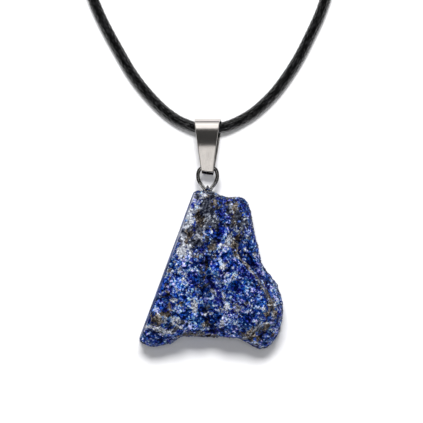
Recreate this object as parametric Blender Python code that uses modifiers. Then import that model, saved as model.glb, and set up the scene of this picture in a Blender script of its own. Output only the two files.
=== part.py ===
"""A rough lapis lazuli pendant on a waxed cord, lying on its back.

The stone's sawn back lies on the plane z = 0 and its rough front looks up, along +Z. +Y runs from
the stone's foot to its bail. A wire eye is set in the top of the stone, a folded steel bail hangs
in the eye, and the cord runs through the bail to a tied coil. The origin is under the middle of the
stone, eye and bail together.
"""

import math

import bmesh
import bpy
import numpy as np

MM = 0.001
GAP = 0.3 * MM
COLLECTION_NAME = "lapis_pendant"
CUTTER_COLLECTION_NAME = "lapis_pendant_cutters"

# Stone
STONE_CENTRE = (0.15 * MM, -9.7 * MM)
STONE_OUTLINE_MM = (
    (-5.2, 8.6), (-15.4, -18.0), (-15.0, -20.0), (-13.6, -21.2), (-11.6, -21.7), (-9.2, -21.4),
    (-7.6, -21.0), (-6.6, -20.3), (-5.6, -19.5), (0.8, -19.8), (5.4, -20.1), (6.7, -20.6),
    (8.4, -21.6), (9.8, -22.1), (11.5, -21.3), (12.9, -19.2), (13.5, -17.2), (13.9, -15.0),
    (13.5, -11.9), (12.4, -9.4), (10.7, -7.3), (9.8, -5.2), (9.0, -1.2), (8.0, 2.0),
    (7.6, 4.8), (7.2, 6.2), (6.1, 7.1), (3.9, 7.4), (1.8, 7.6), (0.3, 8.5), (-2.3, 8.6),
)
CORNER_ROUNDING = math.radians(2.2)
PROFILE_SQUARENESS = 4.6
RIM_SHARE = 0.44
FRONT_END = 0.42
BACK_START = 0.62
FRONT_HEIGHT_MM = (
    (-22.0, 9.0), (-17.0, 10.2), (-12.0, 10.7), (-6.0, 10.4), (0.0, 9.4), (4.0, 8.4), (8.5, 7.3),
)
BACK_BELOW_FLOOR = 2.6 * MM
SKIN_DEPTH = 0.35 * MM

# Main forms of the stone's front, as places and depths in millimetres
LEDGE_MM = (
    (3.3, 9.0), (3.2, 4.0), (3.2, -0.3), (4.7, -4.0), (7.1, -6.6), (9.5, -9.2), (11.7, -12.0),
    (13.2, -14.9), (14.4, -18.0),
)
LEDGE_DROP_MM = ((-16.0, 0.2), (-12.0, 0.9), (-8.0, 1.5), (-3.0, 1.6), (1.0, 0.9), (6.0, 0.2))
LEDGE_SLOPE = 0.30
FOOT_LEDGE_MM = ((-15.0, -17.2), (-12.7, -17.7), (-9.9, -18.3), (-7.9, -18.8), (-5.6, -19.6))
FOOT_LEDGE_DROP = 0.9 * MM
CORNER_CREST_MM = ((4.6, -21.6), (6.0, -19.9), (8.2, -18.2), (10.6, -16.6), (14.6, -15.2))
CORNER_SLOPE = 0.75
VALLEY_MM = ((-3.0, -1.5), (-2.1, -5.0), (-1.4, -9.0), (-0.6, -13.5), (0.1, -19.0))
VALLEY_WIDTH = 1.5 * MM
VALLEY_DEPTH = 1.0 * MM
LUMPS_MM = (
    (-5.3, -11.4, 3.2, 4.2, 0.9),
    (6.0, -11.8, 4.4, 4.6, 1.1),
    (1.6, -4.2, 2.2, 2.6, 0.5),
    (-6.2, -3.0, 2.0, 3.0, 0.4),
    (2.8, 0.6, 1.1, 1.6, 0.5),
    (-10.2, -15.6, 2.0, 1.6, 0.4),
)
PITS_MM = (
    (-4.2, 0.2, 0.8, 1.0, 0.9),
    (4.8, -0.4, 0.7, 1.1, 0.8),
    (-1.6, 3.4, 0.7, 1.2, 0.6),
    (-1.2, -5.6, 0.8, 1.1, 0.7),
    (-8.4, -15.2, 0.9, 0.8, 0.6),
    (0.4, -9.6, 0.8, 1.4, 0.5),
)
FACET_SIZE = 2.6 * MM
FACET_SLOPE = 0.13
LUMP_NOISES = ((3.6 * MM, 0.36 * MM, 5), (1.9 * MM, 0.26 * MM, 8), (1.1 * MM, 0.13 * MM, 9))

# Sawn faces of the stone: a point on each and the direction that it faces
SIDE_SAW_POINT = (-8.5 * MM, -5.74 * MM, 0.0)
SIDE_SAW_FACING = (-0.9360, 0.3475, 0.0560)
BEVEL_SAW_POINT = (-3.2 * MM, 8.0 * MM, 5.8 * MM)
BEVEL_SAW_FACING = (-0.730, 0.490, 0.475)
STONE_SEGMENTS = 176
STONE_RINGS = 104
STONE_TRIANGLE_SHARE = 0.22

# Wire eye, drawn flat at the height of the hole, and the hole that takes its legs
EYE_X = -0.68 * MM
HINGE_Y = 12.45 * MM
HINGE_Z = 3.6 * MM
WIRE_DIAMETER = 0.7 * MM
EYE_HALF_ROUTE_MM = (
    (0.375, 2.6), (0.375, 4.4), (0.375, 6.0), (0.375, 7.5), (0.45, 8.2), (0.84, 8.85),
    (1.34, 9.5), (1.71, 10.2), (1.84, 10.9), (1.80, 11.55), (1.60, 12.1), (1.26, 12.4),
    (0.80, 12.45), (0.27, 12.45),
)
EYE_POINTS = 58
HOLE_RADIUS = 1.05 * MM
HOLE_BOTTOM_Y = 2.2 * MM
HOLE_CUTTER_TOP_Y = 11.0 * MM
HOLE_SIDES = 20

# Four-petalled cup on the wire's legs, in the mouth of the hole
CUP_Y = 8.38 * MM
CUP_RADIUS = 0.72 * MM
CUP_PETAL_REACH = 1.50 * MM
CUP_PETAL_RISE = 0.70 * MM
CUP_THICKNESS = 0.2 * MM
CUP_PETALS = 4
CUP_PETAL_POINT = 1.3
CUP_PETAL_CURL = 1.5
CUP_STEPS = 24

# Folded strip bail
STRIP_THICKNESS = 0.4 * MM
BAIL_TOP_RADIUS = 2.05 * MM
BAIL_ARC_DISTANCE = 7.6 * MM
BAIL_WIDTH_AT_WIRE = 2.25 * MM
BAIL_WIDENING = 0.29
BAIL_TOP_X = -0.60 * MM
BAIL_FRONT_SPLAY = -0.24 * MM
BAIL_BACK_SPLAY = 0.20 * MM
BAIL_FOOT_ROUTE_MM = ((0.27, 1.25), (0.40, 1.0), (0.60, 0.7), (0.78, 0.35), (0.90, -0.1), (0.98, -0.6))
BAIL_BACK_EXTRA = 0.4 * MM
BAIL_ARC_STEPS = 18
BAIL_FLANK_STEPS = 8
BAIL_FLANK_BOW = 1.6
BAIL_EDGE_ROUNDING = 0.07 * MM
FLOOR_CLEARANCE = 0.02 * MM

# Cord, its coil, the tie round the coil and the knot that closes the cord
CORD_DIAMETER = 2.1 * MM
CORD_ROUTE_MM = (
    (-16.5, 73.2, 1.07), (-19.1, 69.8, 1.07), (-21.3, 66.2, 1.07), (-22.9, 62.4, 1.07),
    (-23.9, 58.5, 1.07), (-24.2, 54.6, 1.07), (-24.0, 50.8, 1.07), (-23.3, 47.2, 1.07),
    (-22.2, 43.9, 1.07), (-20.37, 39.86, 1.07), (-17.9, 35.3, 1.07), (-15.24, 30.74, 1.07),
    (-12.5, 27.1, 1.07), (-9.35, 23.8, 1.07), (-6.7, 21.8, 1.12), (-4.7, 20.85, 1.38),
    (-3.0, 20.3, 1.66), (-0.55, 20.02, 1.9), (1.9, 20.25, 1.66), (3.6, 20.7, 1.38),
    (5.7, 21.65, 1.12), (8.13, 23.14, 1.07), (10.9, 25.6, 1.07), (13.36, 28.46, 1.07),
    (16.4, 33.02, 1.07), (18.77, 37.58, 1.07), (20.86, 42.14, 1.07), (22.25, 46.4, 1.07),
    (23.1, 50.7, 1.07), (23.5, 55.0, 1.08), (23.3, 59.2, 1.25), (22.5, 63.2, 1.6),
    (21.2, 66.8, 2.15), (19.3, 70.0, 2.75), (16.9, 72.9, 3.15),
)
CORD_POINTS = 46
COIL_CENTRE = (0.0, 66.0 * MM)
COIL_INNER_RADIUS = 8.2 * MM
COIL_OUTER_RADIUS = 16.3 * MM
COIL_HEIGHT = 4.2 * MM
COIL_STEPS = 44
COIL_CORNER_STEPS = 3
TIE_ANGLE = math.radians(270.0)
TIE_THICKNESS = 0.5 * MM
TIE_WIDTH = 1.6 * MM
TIE_CORNER_STEPS = 4
KNOT_RADIUS = 2.85 * MM
KNOT_LENGTH = 7.8 * MM
KNOT_WRAPS = 4
KNOT_RIDGE = 0.22 * MM
KNOT_OFFSET = 1.6 * MM
KNOT_STEPS = 16
KNOT_POINTS_PER_WRAP = 4

MATERIALS = {
    "lapis": ((0.020, 0.045, 0.270, 1.0), 0.55, 0.0),
    "brushed_steel": ((0.62, 0.60, 0.57, 1.0), 0.30, 1.0),
    "dark_wire": ((0.30, 0.29, 0.28, 1.0), 0.30, 1.0),
    "black_waxed_cord": ((0.012, 0.012, 0.013, 1.0), 0.42, 0.0),
}


def remove_old_objects():
    for old_object in list(bpy.data.objects):
        bpy.data.objects.remove(old_object, do_unlink=True)


def make_collection(name):
    collection = bpy.data.collections.new(name)
    bpy.context.scene.collection.children.link(collection)
    return collection


def make_material(name):
    colour, roughness, metallic = MATERIALS[name]
    material = bpy.data.materials.new(name)
    material.use_nodes = True
    shader = material.node_tree.nodes["Principled BSDF"]
    shader.inputs["Base Color"].default_value = colour
    shader.inputs["Roughness"].default_value = roughness
    shader.inputs["Metallic"].default_value = metallic
    material.diffuse_color = colour
    return material


def add_object(name, data, collection, material=None):
    new_object = bpy.data.objects.new(name, data)
    collection.objects.link(new_object)
    if material is not None:
        data.materials.append(material)
    return new_object


def make_cutter(cutter):
    cutter.hide_render = True
    cutter.display_type = "WIRE"


def hash_values(cells, seed):
    """A repeatable number from 0 to 1 for each whole-number cell."""
    keys = cells.astype(np.int64)
    mixed = keys[..., 0] * 73856093 + keys[..., 1] * 19349663 + keys[..., 2] * 83492791
    mixed = (mixed + seed * 2654435) & 0xFFFFFFFF
    mixed = ((mixed ^ (mixed >> 15)) * 2246822519) & 0xFFFFFFFF
    mixed = ((mixed ^ (mixed >> 13)) * 3266489917) & 0xFFFFFFFF
    return ((mixed ^ (mixed >> 16)) & 0xFFFFFF) / float(0xFFFFFF)


def smooth_noise(points, size, seed):
    """Noise from -1 to 1: random values at the corners of cubes, blended smoothly between them."""
    scaled = points / size
    base = np.floor(scaled)
    part = scaled - base
    blend = part * part * (3.0 - 2.0 * part)
    total = np.zeros(points.shape[:-1])
    for corner in np.ndindex(2, 2, 2):
        offset = np.array(corner)
        share = np.prod(np.where(offset == 1, blend, 1.0 - blend), axis=-1)
        total += share * hash_values(base + offset, seed)
    return 2.0 * total - 1.0


def facet_noise(points, size, seed):
    """Flat facets: each point takes the slope of its nearest scattered centre, in units of size."""
    scaled = points / size
    base = np.floor(scaled)
    nearest = np.full(points.shape[:-1], 9.0)
    height = np.zeros(points.shape[:-1])
    for step in np.ndindex(3, 3, 3):
        cell = base + (np.array(step) - 1)
        jitter = [hash_values(cell, seed + axis) for axis in range(3)]
        slope = [hash_values(cell, seed + 3 + axis) - 0.5 for axis in range(3)]
        offset = scaled - (cell + np.stack(jitter, axis=-1))
        distance = np.sum(offset * offset, axis=-1)
        closer = distance < nearest
        nearest = np.where(closer, distance, nearest)
        height = np.where(closer, np.sum(offset * np.stack(slope, axis=-1), axis=-1), height)
    return 2.0 * height


def smooth_step(values, low, high):
    share = np.clip((values - low) / (high - low), 0.0, 1.0)
    return share * share * (3.0 - 2.0 * share)


def distance_to_route(x, y, route_mm):
    """Distance to a broken line, positive on the right-hand side of its direction."""
    best = np.full(x.shape, 1.0)
    signed = np.zeros(x.shape)
    route = np.array(route_mm) * MM
    for start, end in zip(route[:-1], route[1:]):
        along = end - start
        from_start = (x - start[0], y - start[1])
        share = (from_start[0] * along[0] + from_start[1] * along[1]) / float(along @ along)
        share = np.clip(share, 0.0, 1.0)
        away_x = from_start[0] - share * along[0]
        away_y = from_start[1] - share * along[1]
        distance = np.hypot(away_x, away_y)
        side = np.where(away_x * along[1] - away_y * along[0] >= 0.0, 1.0, -1.0)
        closer = distance < best
        best = np.where(closer, distance, best)
        signed = np.where(closer, side * distance, signed)
    return signed


def outline_radius(angle):
    """Distance from the stone's middle to its outline, with the corners averaged round."""
    corners = np.array(STONE_OUTLINE_MM) * MM - np.array(STONE_CENTRE)
    corner_angles = np.arctan2(corners[:, 1], corners[:, 0])
    order = np.argsort(corner_angles)
    corners = corners[order]
    corner_angles = corner_angles[order]
    total = np.zeros(angle.shape)
    shares = (0.08, 0.24, 0.36, 0.24, 0.08)
    for step, share in zip((-1.0, -0.5, 0.0, 0.5, 1.0), shares):
        turned = (angle + step * CORNER_ROUNDING + math.pi) % (2.0 * math.pi) - math.pi
        first = (np.searchsorted(corner_angles, turned) - 1) % len(corners)
        start = corners[first]
        along = corners[(first + 1) % len(corners)] - start
        across = start[..., 0] * along[..., 1] - start[..., 1] * along[..., 0]
        facing = np.cos(turned) * along[..., 1] - np.sin(turned) * along[..., 0]
        total += share * across / facing
    return total


def front_height(x, y):
    """Height of the rough front over the floor: a wedge with its ledges, valley, lumps and pits."""
    places, heights = np.array(FRONT_HEIGHT_MM).T * MM
    height = np.interp(y, places, heights)

    beyond_ledge = distance_to_route(x, y, LEDGE_MM) * -1.0
    places, drops = np.array(LEDGE_DROP_MM).T * MM
    drop = np.interp(y, places, drops)
    height -= drop * smooth_step(beyond_ledge, -0.35 * MM, 0.45 * MM)
    height -= LEDGE_SLOPE * np.clip(beyond_ledge, 0.0, None) * smooth_step(-y, -8.0 * MM, 2.0 * MM)

    below_foot_ledge = distance_to_route(x, y, FOOT_LEDGE_MM)
    near_foot = smooth_step(-x, 5.2 * MM, 6.8 * MM)
    height -= FOOT_LEDGE_DROP * near_foot * smooth_step(below_foot_ledge, -0.25 * MM, 0.35 * MM)

    beyond_crest = distance_to_route(x, y, CORNER_CREST_MM)
    height -= CORNER_SLOPE * np.clip(beyond_crest, 0.0, None)

    valley = distance_to_route(x, y, VALLEY_MM) / VALLEY_WIDTH
    height -= VALLEY_DEPTH * np.exp(-valley * valley)

    for forms, sign in ((LUMPS_MM, 1.0), (PITS_MM, -1.0)):
        for centre_x, centre_y, radius_x, radius_y, size in forms:
            across = (x / MM - centre_x) / radius_x
            along = (y / MM - centre_y) / radius_y
            height += sign * size * MM * np.exp(-(across * across + along * along))
    return height


def stone_points(angle, share):
    """Points of the stone's skin for an angle round it and a share from front middle to back.

    The share runs evenly over the front, the side and the back of a box. The direction to that place
    is read on a superellipse, which rounds the box's edges, and stretched to the stone's outline,
    front height and back. Noise then moves each point out or in.
    """
    front = np.arctan2(share, FRONT_END)
    side_share = (share - FRONT_END) / (BACK_START - FRONT_END)
    side = np.arctan2(1.0, 1.0 - 2.0 * side_share)
    back = math.pi - np.arctan2(1.0 - share, 1.0 - BACK_START)
    tilt = np.where(share < FRONT_END, front, np.where(share < BACK_START, side, back))
    outward = np.sin(tilt)
    upward = np.cos(tilt)
    power = PROFILE_SQUARENESS
    reach = (np.abs(outward) ** power + np.abs(upward) ** power) ** (-1.0 / power)

    radius = outline_radius(angle)
    spread = outward * reach * radius
    x = STONE_CENTRE[0] + spread * np.cos(angle)
    y = STONE_CENTRE[1] + spread * np.sin(angle)
    top = front_height(x, y)
    rim = RIM_SHARE * top
    above = rim + upward * reach * (top - rim)
    below = rim + upward * reach * (rim + BACK_BELOW_FLOOR)
    z = np.where(upward > 0.0, above, below)

    points = np.stack((x, y, z), axis=-1)
    push = FACET_SIZE * FACET_SLOPE * facet_noise(points, FACET_SIZE, 11) - SKIN_DEPTH
    for size, height, seed in LUMP_NOISES:
        push += height * smooth_noise(points, size, seed)
    direction = np.stack((outward * np.cos(angle), outward * np.sin(angle), upward), axis=-1)
    return points + push[..., None] * direction


def saw_flat(mesh, point, facing):
    """Cuts away what lies beyond a plane and closes the cut with flat faces."""
    everything = mesh.verts[:] + mesh.edges[:] + mesh.faces[:]
    bmesh.ops.bisect_plane(mesh, geom=everything, plane_co=point, plane_no=facing, dist=1e-7,
                           clear_outer=True)
    rim = [edge for edge in mesh.edges if edge.is_boundary]
    bmesh.ops.holes_fill(mesh, edges=rim, sides=0)


def build_stone(collection, cutters, material, hinge):
    mesh = bmesh.new()
    bmesh.ops.create_uvsphere(mesh, u_segments=STONE_SEGMENTS, v_segments=STONE_RINGS, radius=1.0)
    directions = np.array([vert.co[:] for vert in mesh.verts])
    angle = np.arctan2(directions[:, 1], directions[:, 0])
    share = np.arccos(np.clip(directions[:, 2], -1.0, 1.0)) / math.pi
    for vert, place in zip(mesh.verts, stone_points(angle, share)):
        vert.co = place
    data = bpy.data.meshes.new("stone_rough")
    mesh.to_mesh(data)
    mesh.free()

    rough = add_object("stone_rough", data, collection)
    thin = rough.modifiers.new("fewer_faces", "DECIMATE")
    thin.ratio = STONE_TRIANGLE_SHARE
    depsgraph = bpy.context.evaluated_depsgraph_get()
    thinned = bpy.data.meshes.new_from_object(rough.evaluated_get(depsgraph))
    bpy.data.objects.remove(rough, do_unlink=True)

    mesh = bmesh.new()
    mesh.from_mesh(thinned)
    saw_flat(mesh, (0.0, 0.0, 0.0), (0.0, 0.0, -1.0))
    saw_flat(mesh, SIDE_SAW_POINT, SIDE_SAW_FACING)
    saw_flat(mesh, BEVEL_SAW_POINT, BEVEL_SAW_FACING)
    bmesh.ops.translate(mesh, verts=mesh.verts[:], vec=tuple(-part for part in hinge.location))
    mesh.to_mesh(thinned)
    mesh.free()
    stone = add_object("stone", thinned, collection, material)
    stone.parent = hinge

    bpy.ops.mesh.primitive_cylinder_add(
        vertices=HOLE_SIDES, radius=HOLE_RADIUS, depth=HOLE_CUTTER_TOP_Y - HOLE_BOTTOM_Y,
        location=(EYE_X, 0.5 * (HOLE_CUTTER_TOP_Y + HOLE_BOTTOM_Y), HINGE_Z),
        rotation=(math.pi / 2.0, 0.0, 0.0))
    drill = bpy.context.object
    drill.name = "hole_cutter"
    for holder in list(drill.users_collection):
        holder.objects.unlink(drill)
    cutters.objects.link(drill)
    make_cutter(drill)
    hole = stone.modifiers.new("hole", "BOOLEAN")
    hole.operation = "DIFFERENCE"
    hole.solver = "EXACT"
    hole.object = drill
    return stone


def smooth_route(route, count):
    """Evenly spaced points along a smooth curve through the route, by the Catmull-Rom formula."""
    route = np.array(route, dtype=float)
    first = 2.0 * route[0] - route[1]
    last = 2.0 * route[-1] - route[-2]
    padded = np.vstack((first, route, last))
    fine = []
    steps = np.linspace(0.0, 1.0, 24, endpoint=False)[:, None]
    for index in range(len(route) - 1):
        before, start, end, after = padded[index:index + 4]
        fine.append(0.5 * (2.0 * start + (end - before) * steps
                           + (2.0 * before - 5.0 * start + 4.0 * end - after) * steps ** 2
                           + (3.0 * start - before - 3.0 * end + after) * steps ** 3))
    fine = np.vstack(fine + [route[-1:]])
    lengths = np.concatenate(([0.0], np.cumsum(np.linalg.norm(np.diff(fine, axis=0), axis=1))))
    wanted = np.linspace(0.0, lengths[-1], count)
    return np.stack([np.interp(wanted, lengths, fine[:, axis]) for axis in range(3)], axis=-1)


def make_tube(name, points, diameter, collection, material, closed=False):
    curve = bpy.data.curves.new(name, "CURVE")
    curve.dimensions = "3D"
    curve.bevel_depth = diameter / 2.0
    curve.bevel_resolution = 2
    curve.use_fill_caps = True
    spline = curve.splines.new("POLY")
    spline.points.add(len(points) - 1)
    for spline_point, place in zip(spline.points, points):
        spline_point.co = (place[0], place[1], place[2], 1.0)
    spline.use_cyclic_u = closed
    return add_object(name, curve, collection, material)


def build_petal_cup(cutters, hinge):
    """A disc round the legs whose rim draws out and rises to four pointed petals.

    The rim's radius is the disc's plus the petal's reach times a power of the cosine of its phase.
    A ring's height is the petal's rise times a power of how far along the petal it lies.
    """
    angle = 2.0 * math.pi * np.arange(CUP_STEPS) / CUP_STEPS
    crown = np.abs(np.cos(0.5 * CUP_PETALS * angle)) ** CUP_PETAL_POINT
    draw = (CUP_PETAL_REACH - CUP_RADIUS) * crown
    mesh = bmesh.new()
    middle = mesh.verts.new((0.0, CUP_Y - HINGE_Y, 0.0))
    rings = []
    for share in (0.0, 0.5, 1.0):
        radius = CUP_RADIUS + share * draw
        height = CUP_Y - HINGE_Y + CUP_PETAL_RISE * (share * crown) ** CUP_PETAL_CURL
        rings.append([mesh.verts.new((across * math.cos(turn), rise, across * math.sin(turn)))
                      for across, rise, turn in zip(radius, height, angle)])
    for index in range(CUP_STEPS):
        beside = (index + 1) % CUP_STEPS
        mesh.faces.new((middle, rings[0][index], rings[0][beside]))
        for low, high in zip(rings[:-1], rings[1:]):
            corners = [low[index], high[index], high[beside], low[beside]]
            mesh.faces.new(corners)
    bmesh.ops.remove_doubles(mesh, verts=mesh.verts[:], dist=0.00002 * MM)
    bmesh.ops.recalc_face_normals(mesh, faces=mesh.faces[:])
    data = bpy.data.meshes.new("petal_cup")
    mesh.to_mesh(data)
    mesh.free()
    cup = add_object("petal_cup", data, cutters)
    cup.parent = hinge
    wall = cup.modifiers.new("sheet", "SOLIDIFY")
    wall.thickness = CUP_THICKNESS
    wall.offset = 0.0
    make_cutter(cup)
    return cup


def build_eye_loop(collection, cutters, material, hinge):
    """One wire with a petalled cup: two legs in the stone, and a pear-shaped eye with a straight top."""
    half = [(side_x * MM, y * MM - HINGE_Y, 0.0) for side_x, y in EYE_HALF_ROUTE_MM]
    other = [(-x, y, z) for x, y, z in reversed(half)]
    points = smooth_route(half + other, EYE_POINTS)
    wire = make_tube("eye_wire", points, WIRE_DIAMETER, collection, material)
    depsgraph = bpy.context.evaluated_depsgraph_get()
    data = bpy.data.meshes.new_from_object(wire.evaluated_get(depsgraph))
    bpy.data.objects.remove(wire, do_unlink=True)
    mesh = bmesh.new()
    mesh.from_mesh(data)
    bmesh.ops.remove_doubles(mesh, verts=mesh.verts[:], dist=0.001 * MM)
    mesh.to_mesh(data)
    mesh.free()
    eye = add_object("eye_loop", data, collection, material)
    eye.parent = hinge
    joined = eye.modifiers.new("petal_cup", "BOOLEAN")
    joined.operation = "UNION"
    joined.solver = "EXACT"
    joined.object = build_petal_cup(cutters, hinge)
    return eye


def bail_profile():
    """The strip's middle line, seen from the side, as height over the wire and distance in front.

    It starts at the front end, under the wire, runs up the front, whose slope eases off to nothing
    at the top arc, round that arc and down the back, whose end lies a little lower.
    """
    arc_radius = BAIL_TOP_RADIUS - STRIP_THICKNESS / 2.0
    foot = [(-low * MM, front * MM) for front, low in BAIL_FOOT_ROUTE_MM]
    turns = np.linspace(math.pi / 2.0, -math.pi / 2.0, BAIL_ARC_STEPS + 1)
    arc = [(BAIL_ARC_DISTANCE + arc_radius * math.cos(turn), arc_radius * math.sin(turn))
           for turn in turns]
    flank_shares = np.linspace(0.0, 1.0, BAIL_FLANK_STEPS + 1)[1:-1]
    front = [(foot[-1][0] + share * (BAIL_ARC_DISTANCE - foot[-1][0]),
              arc_radius - (1.0 - share) ** BAIL_FLANK_BOW * (arc_radius - foot[-1][1]))
             for share in flank_shares]
    back_foot = [(along, -away) for along, away in reversed(foot)]
    back_foot[-1] = (back_foot[-1][0] - BAIL_BACK_EXTRA, back_foot[-1][1] - 0.04 * MM)
    back = [(along, -away) for along, away in reversed(front)]
    return np.array(foot + front + arc + back + back_foot)


def build_bail(collection, material):
    """A grid bent along the profile, wider towards the top, with the strip's thickness.

    The front and the back share their middle at the arc and splay apart sideways towards the wire.
    """
    profile = bail_profile()
    lean = math.asin((HINGE_Z - BAIL_TOP_RADIUS - FLOOR_CLEARANCE) / BAIL_ARC_DISTANCE)
    steps = np.concatenate(([0.0], np.cumsum(np.linalg.norm(np.diff(profile, axis=0), axis=1))))
    splay = np.where(profile[:, 1] > 0.0, BAIL_FRONT_SPLAY, BAIL_BACK_SPLAY)
    middle_x = BAIL_TOP_X + splay * np.clip(1.0 - profile[:, 0] / BAIL_ARC_DISTANCE, 0.0, 1.0)
    width = BAIL_WIDTH_AT_WIRE + BAIL_WIDENING * profile[:, 0]
    y = HINGE_Y + profile[:, 0] * math.cos(lean) + profile[:, 1] * math.sin(lean)
    z = HINGE_Z - profile[:, 0] * math.sin(lean) + profile[:, 1] * math.cos(lean)

    mesh = bmesh.new()
    bmesh.ops.create_grid(mesh, x_segments=1, y_segments=len(steps) - 1, size=1.0)
    for vert in mesh.verts:
        place = int(round((vert.co.y + 1.0) / 2.0 * (len(steps) - 1)))
        side = 0.5 if vert.co.x > 0.0 else -0.5
        vert.co = (middle_x[place] + side * width[place], y[place], z[place])
    data = bpy.data.meshes.new("bail")
    mesh.to_mesh(data)
    mesh.free()
    bail = add_object("bail", data, collection, material)
    wall = bail.modifiers.new("strip", "SOLIDIFY")
    wall.thickness = STRIP_THICKNESS
    wall.offset = 0.0
    wall.use_even_offset = True
    edge = bail.modifiers.new("rounded_edges", "BEVEL")
    edge.width = BAIL_EDGE_ROUNDING
    edge.segments = 1
    edge.limit_method = "ANGLE"
    edge.angle_limit = math.radians(50.0)
    return bail


def screw_object(name, profile, closed, steps, collection, material):
    """A profile in the XZ plane turned once round the Z axis."""
    data = bpy.data.meshes.new(name)
    count = len(profile)
    edges = [(index, index + 1) for index in range(count - 1)]
    if closed:
        edges.append((count - 1, 0))
    data.from_pydata([(radius, 0.0, z) for radius, z in profile], edges, [])
    turned = add_object(name, data, collection, material)
    screw = turned.modifiers.new("turned", "SCREW")
    screw.steps = steps
    screw.render_steps = steps
    screw.use_merge_vertices = True
    screw.merge_threshold = 0.00001
    screw.use_smooth_shade = False
    return turned


def build_coil(collection, cutters, material):
    """The wound cord's outer shape: a flat ring with round corners, notched under its tie."""
    corner = CORD_DIAMETER / 2.0
    low = FLOOR_CLEARANCE
    high = FLOOR_CLEARANCE + COIL_HEIGHT
    corners = (
        (COIL_OUTER_RADIUS - corner, high - corner, 90.0),
        (COIL_OUTER_RADIUS - corner, low + corner, 0.0),
        (COIL_INNER_RADIUS + corner, low + corner, -90.0),
        (COIL_INNER_RADIUS + corner, high - corner, -180.0),
    )
    profile = []
    for centre_r, centre_z, start in corners:
        for turn in np.radians(np.linspace(start, start - 90.0, COIL_CORNER_STEPS + 1)):
            profile.append((centre_r + corner * math.cos(turn), centre_z + corner * math.sin(turn)))
    coil = screw_object("cord_coil", profile, True, COIL_STEPS, collection, material)
    coil.location = (COIL_CENTRE[0], COIL_CENTRE[1], 0.0)

    middle_radius = 0.5 * (COIL_INNER_RADIUS + COIL_OUTER_RADIUS)
    groove_top = 2.0 * FLOOR_CLEARANCE + TIE_THICKNESS + GAP
    bpy.ops.mesh.primitive_cube_add(size=1.0)
    groove = bpy.context.object
    groove.name = "tie_groove_cutter"
    groove.scale = (COIL_OUTER_RADIUS - COIL_INNER_RADIUS + 4.0 * MM, TIE_WIDTH + 2.0 * GAP,
                    2.0 * groove_top)
    groove.rotation_euler = (0.0, 0.0, TIE_ANGLE)
    groove.location = (COIL_CENTRE[0] + middle_radius * math.cos(TIE_ANGLE),
                       COIL_CENTRE[1] + middle_radius * math.sin(TIE_ANGLE), 0.0)
    for holder in list(groove.users_collection):
        holder.objects.unlink(groove)
    cutters.objects.link(groove)
    make_cutter(groove)
    cut = coil.modifiers.new("tie_groove", "BOOLEAN")
    cut.operation = "DIFFERENCE"
    cut.solver = "EXACT"
    cut.object = groove
    return coil


def build_coil_tie(collection, material):
    """A thin flat band in a rounded rectangle round the coil's turns."""
    half_thickness = TIE_THICKNESS / 2.0
    inner = COIL_INNER_RADIUS - GAP - half_thickness
    outer = COIL_OUTER_RADIUS + GAP + half_thickness
    low = FLOOR_CLEARANCE + half_thickness
    high = FLOOR_CLEARANCE + COIL_HEIGHT + GAP + half_thickness
    corner = CORD_DIAMETER / 2.0
    corners = (
        (outer - corner, high - corner, 90.0),
        (outer - corner, low + corner, 0.0),
        (inner + corner, low + corner, -90.0),
        (inner + corner, high - corner, -180.0),
    )
    points = []
    for centre_r, centre_z, start in corners:
        for turn in np.radians(np.linspace(start, start - 90.0, TIE_CORNER_STEPS + 1)):
            points.append((centre_r + corner * math.cos(turn), centre_z + corner * math.sin(turn), 0.0))
    curve = bpy.data.curves.new("coil_tie", "CURVE")
    curve.dimensions = "2D"
    curve.fill_mode = "NONE"
    curve.extrude = TIE_WIDTH / 2.0 - half_thickness
    curve.bevel_depth = half_thickness
    curve.bevel_resolution = 1
    spline = curve.splines.new("POLY")
    spline.points.add(len(points) - 1)
    for spline_point, place in zip(spline.points, points):
        spline_point.co = (place[0], place[1], 0.0, 1.0)
    spline.use_cyclic_u = True
    tie = add_object("coil_tie", curve, collection, material)
    tie.rotation_euler = (math.pi / 2.0, 0.0, TIE_ANGLE)
    tie.location = (COIL_CENTRE[0], COIL_CENTRE[1], 0.0)
    return tie


def build_closing_knot(collection, material):
    """A barrel knot: a ridge for each wrap, turned round the cord's line and laid along X."""
    count = KNOT_WRAPS * KNOT_POINTS_PER_WRAP
    profile = [(0.0, KNOT_LENGTH / 2.0)]
    for index in range(count + 1):
        share = index / count
        along = KNOT_LENGTH * (0.5 - share)
        ridge = abs(math.sin(math.pi * KNOT_WRAPS * share)) - 1.0
        taper = 1.0 - 0.26 * abs(2.0 * share - 1.0) ** 4
        profile.append(((KNOT_RADIUS + KNOT_RIDGE * ridge) * taper, along))
    profile.append((0.0, -KNOT_LENGTH / 2.0))
    knot = screw_object("closing_knot", profile, False, KNOT_STEPS, collection, material)
    knot.rotation_euler = (0.0, math.pi / 2.0, 0.0)
    knot.location = (COIL_CENTRE[0], COIL_CENTRE[1] + KNOT_OFFSET, KNOT_RADIUS + FLOOR_CLEARANCE)
    return knot


def main():
    remove_old_objects()
    parts = make_collection(COLLECTION_NAME)
    cutters = make_collection(CUTTER_COLLECTION_NAME)
    materials = {name: make_material(name) for name in MATERIALS}

    hinge = bpy.data.objects.new("stone_hinge", None)
    hinge.location = (EYE_X, HINGE_Y, HINGE_Z)
    hinge.empty_display_size = 3.0 * MM
    parts.objects.link(hinge)

    build_stone(parts, cutters, materials["lapis"], hinge)
    build_eye_loop(parts, cutters, materials["dark_wire"], hinge)
    build_bail(parts, materials["brushed_steel"])

    cord_points = smooth_route(np.array(CORD_ROUTE_MM) * MM, CORD_POINTS)
    make_tube("cord", cord_points, CORD_DIAMETER, parts, materials["black_waxed_cord"])
    build_coil(parts, cutters, materials["black_waxed_cord"])
    build_coil_tie(parts, materials["black_waxed_cord"])
    build_closing_knot(parts, materials["black_waxed_cord"])


main()
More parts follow.
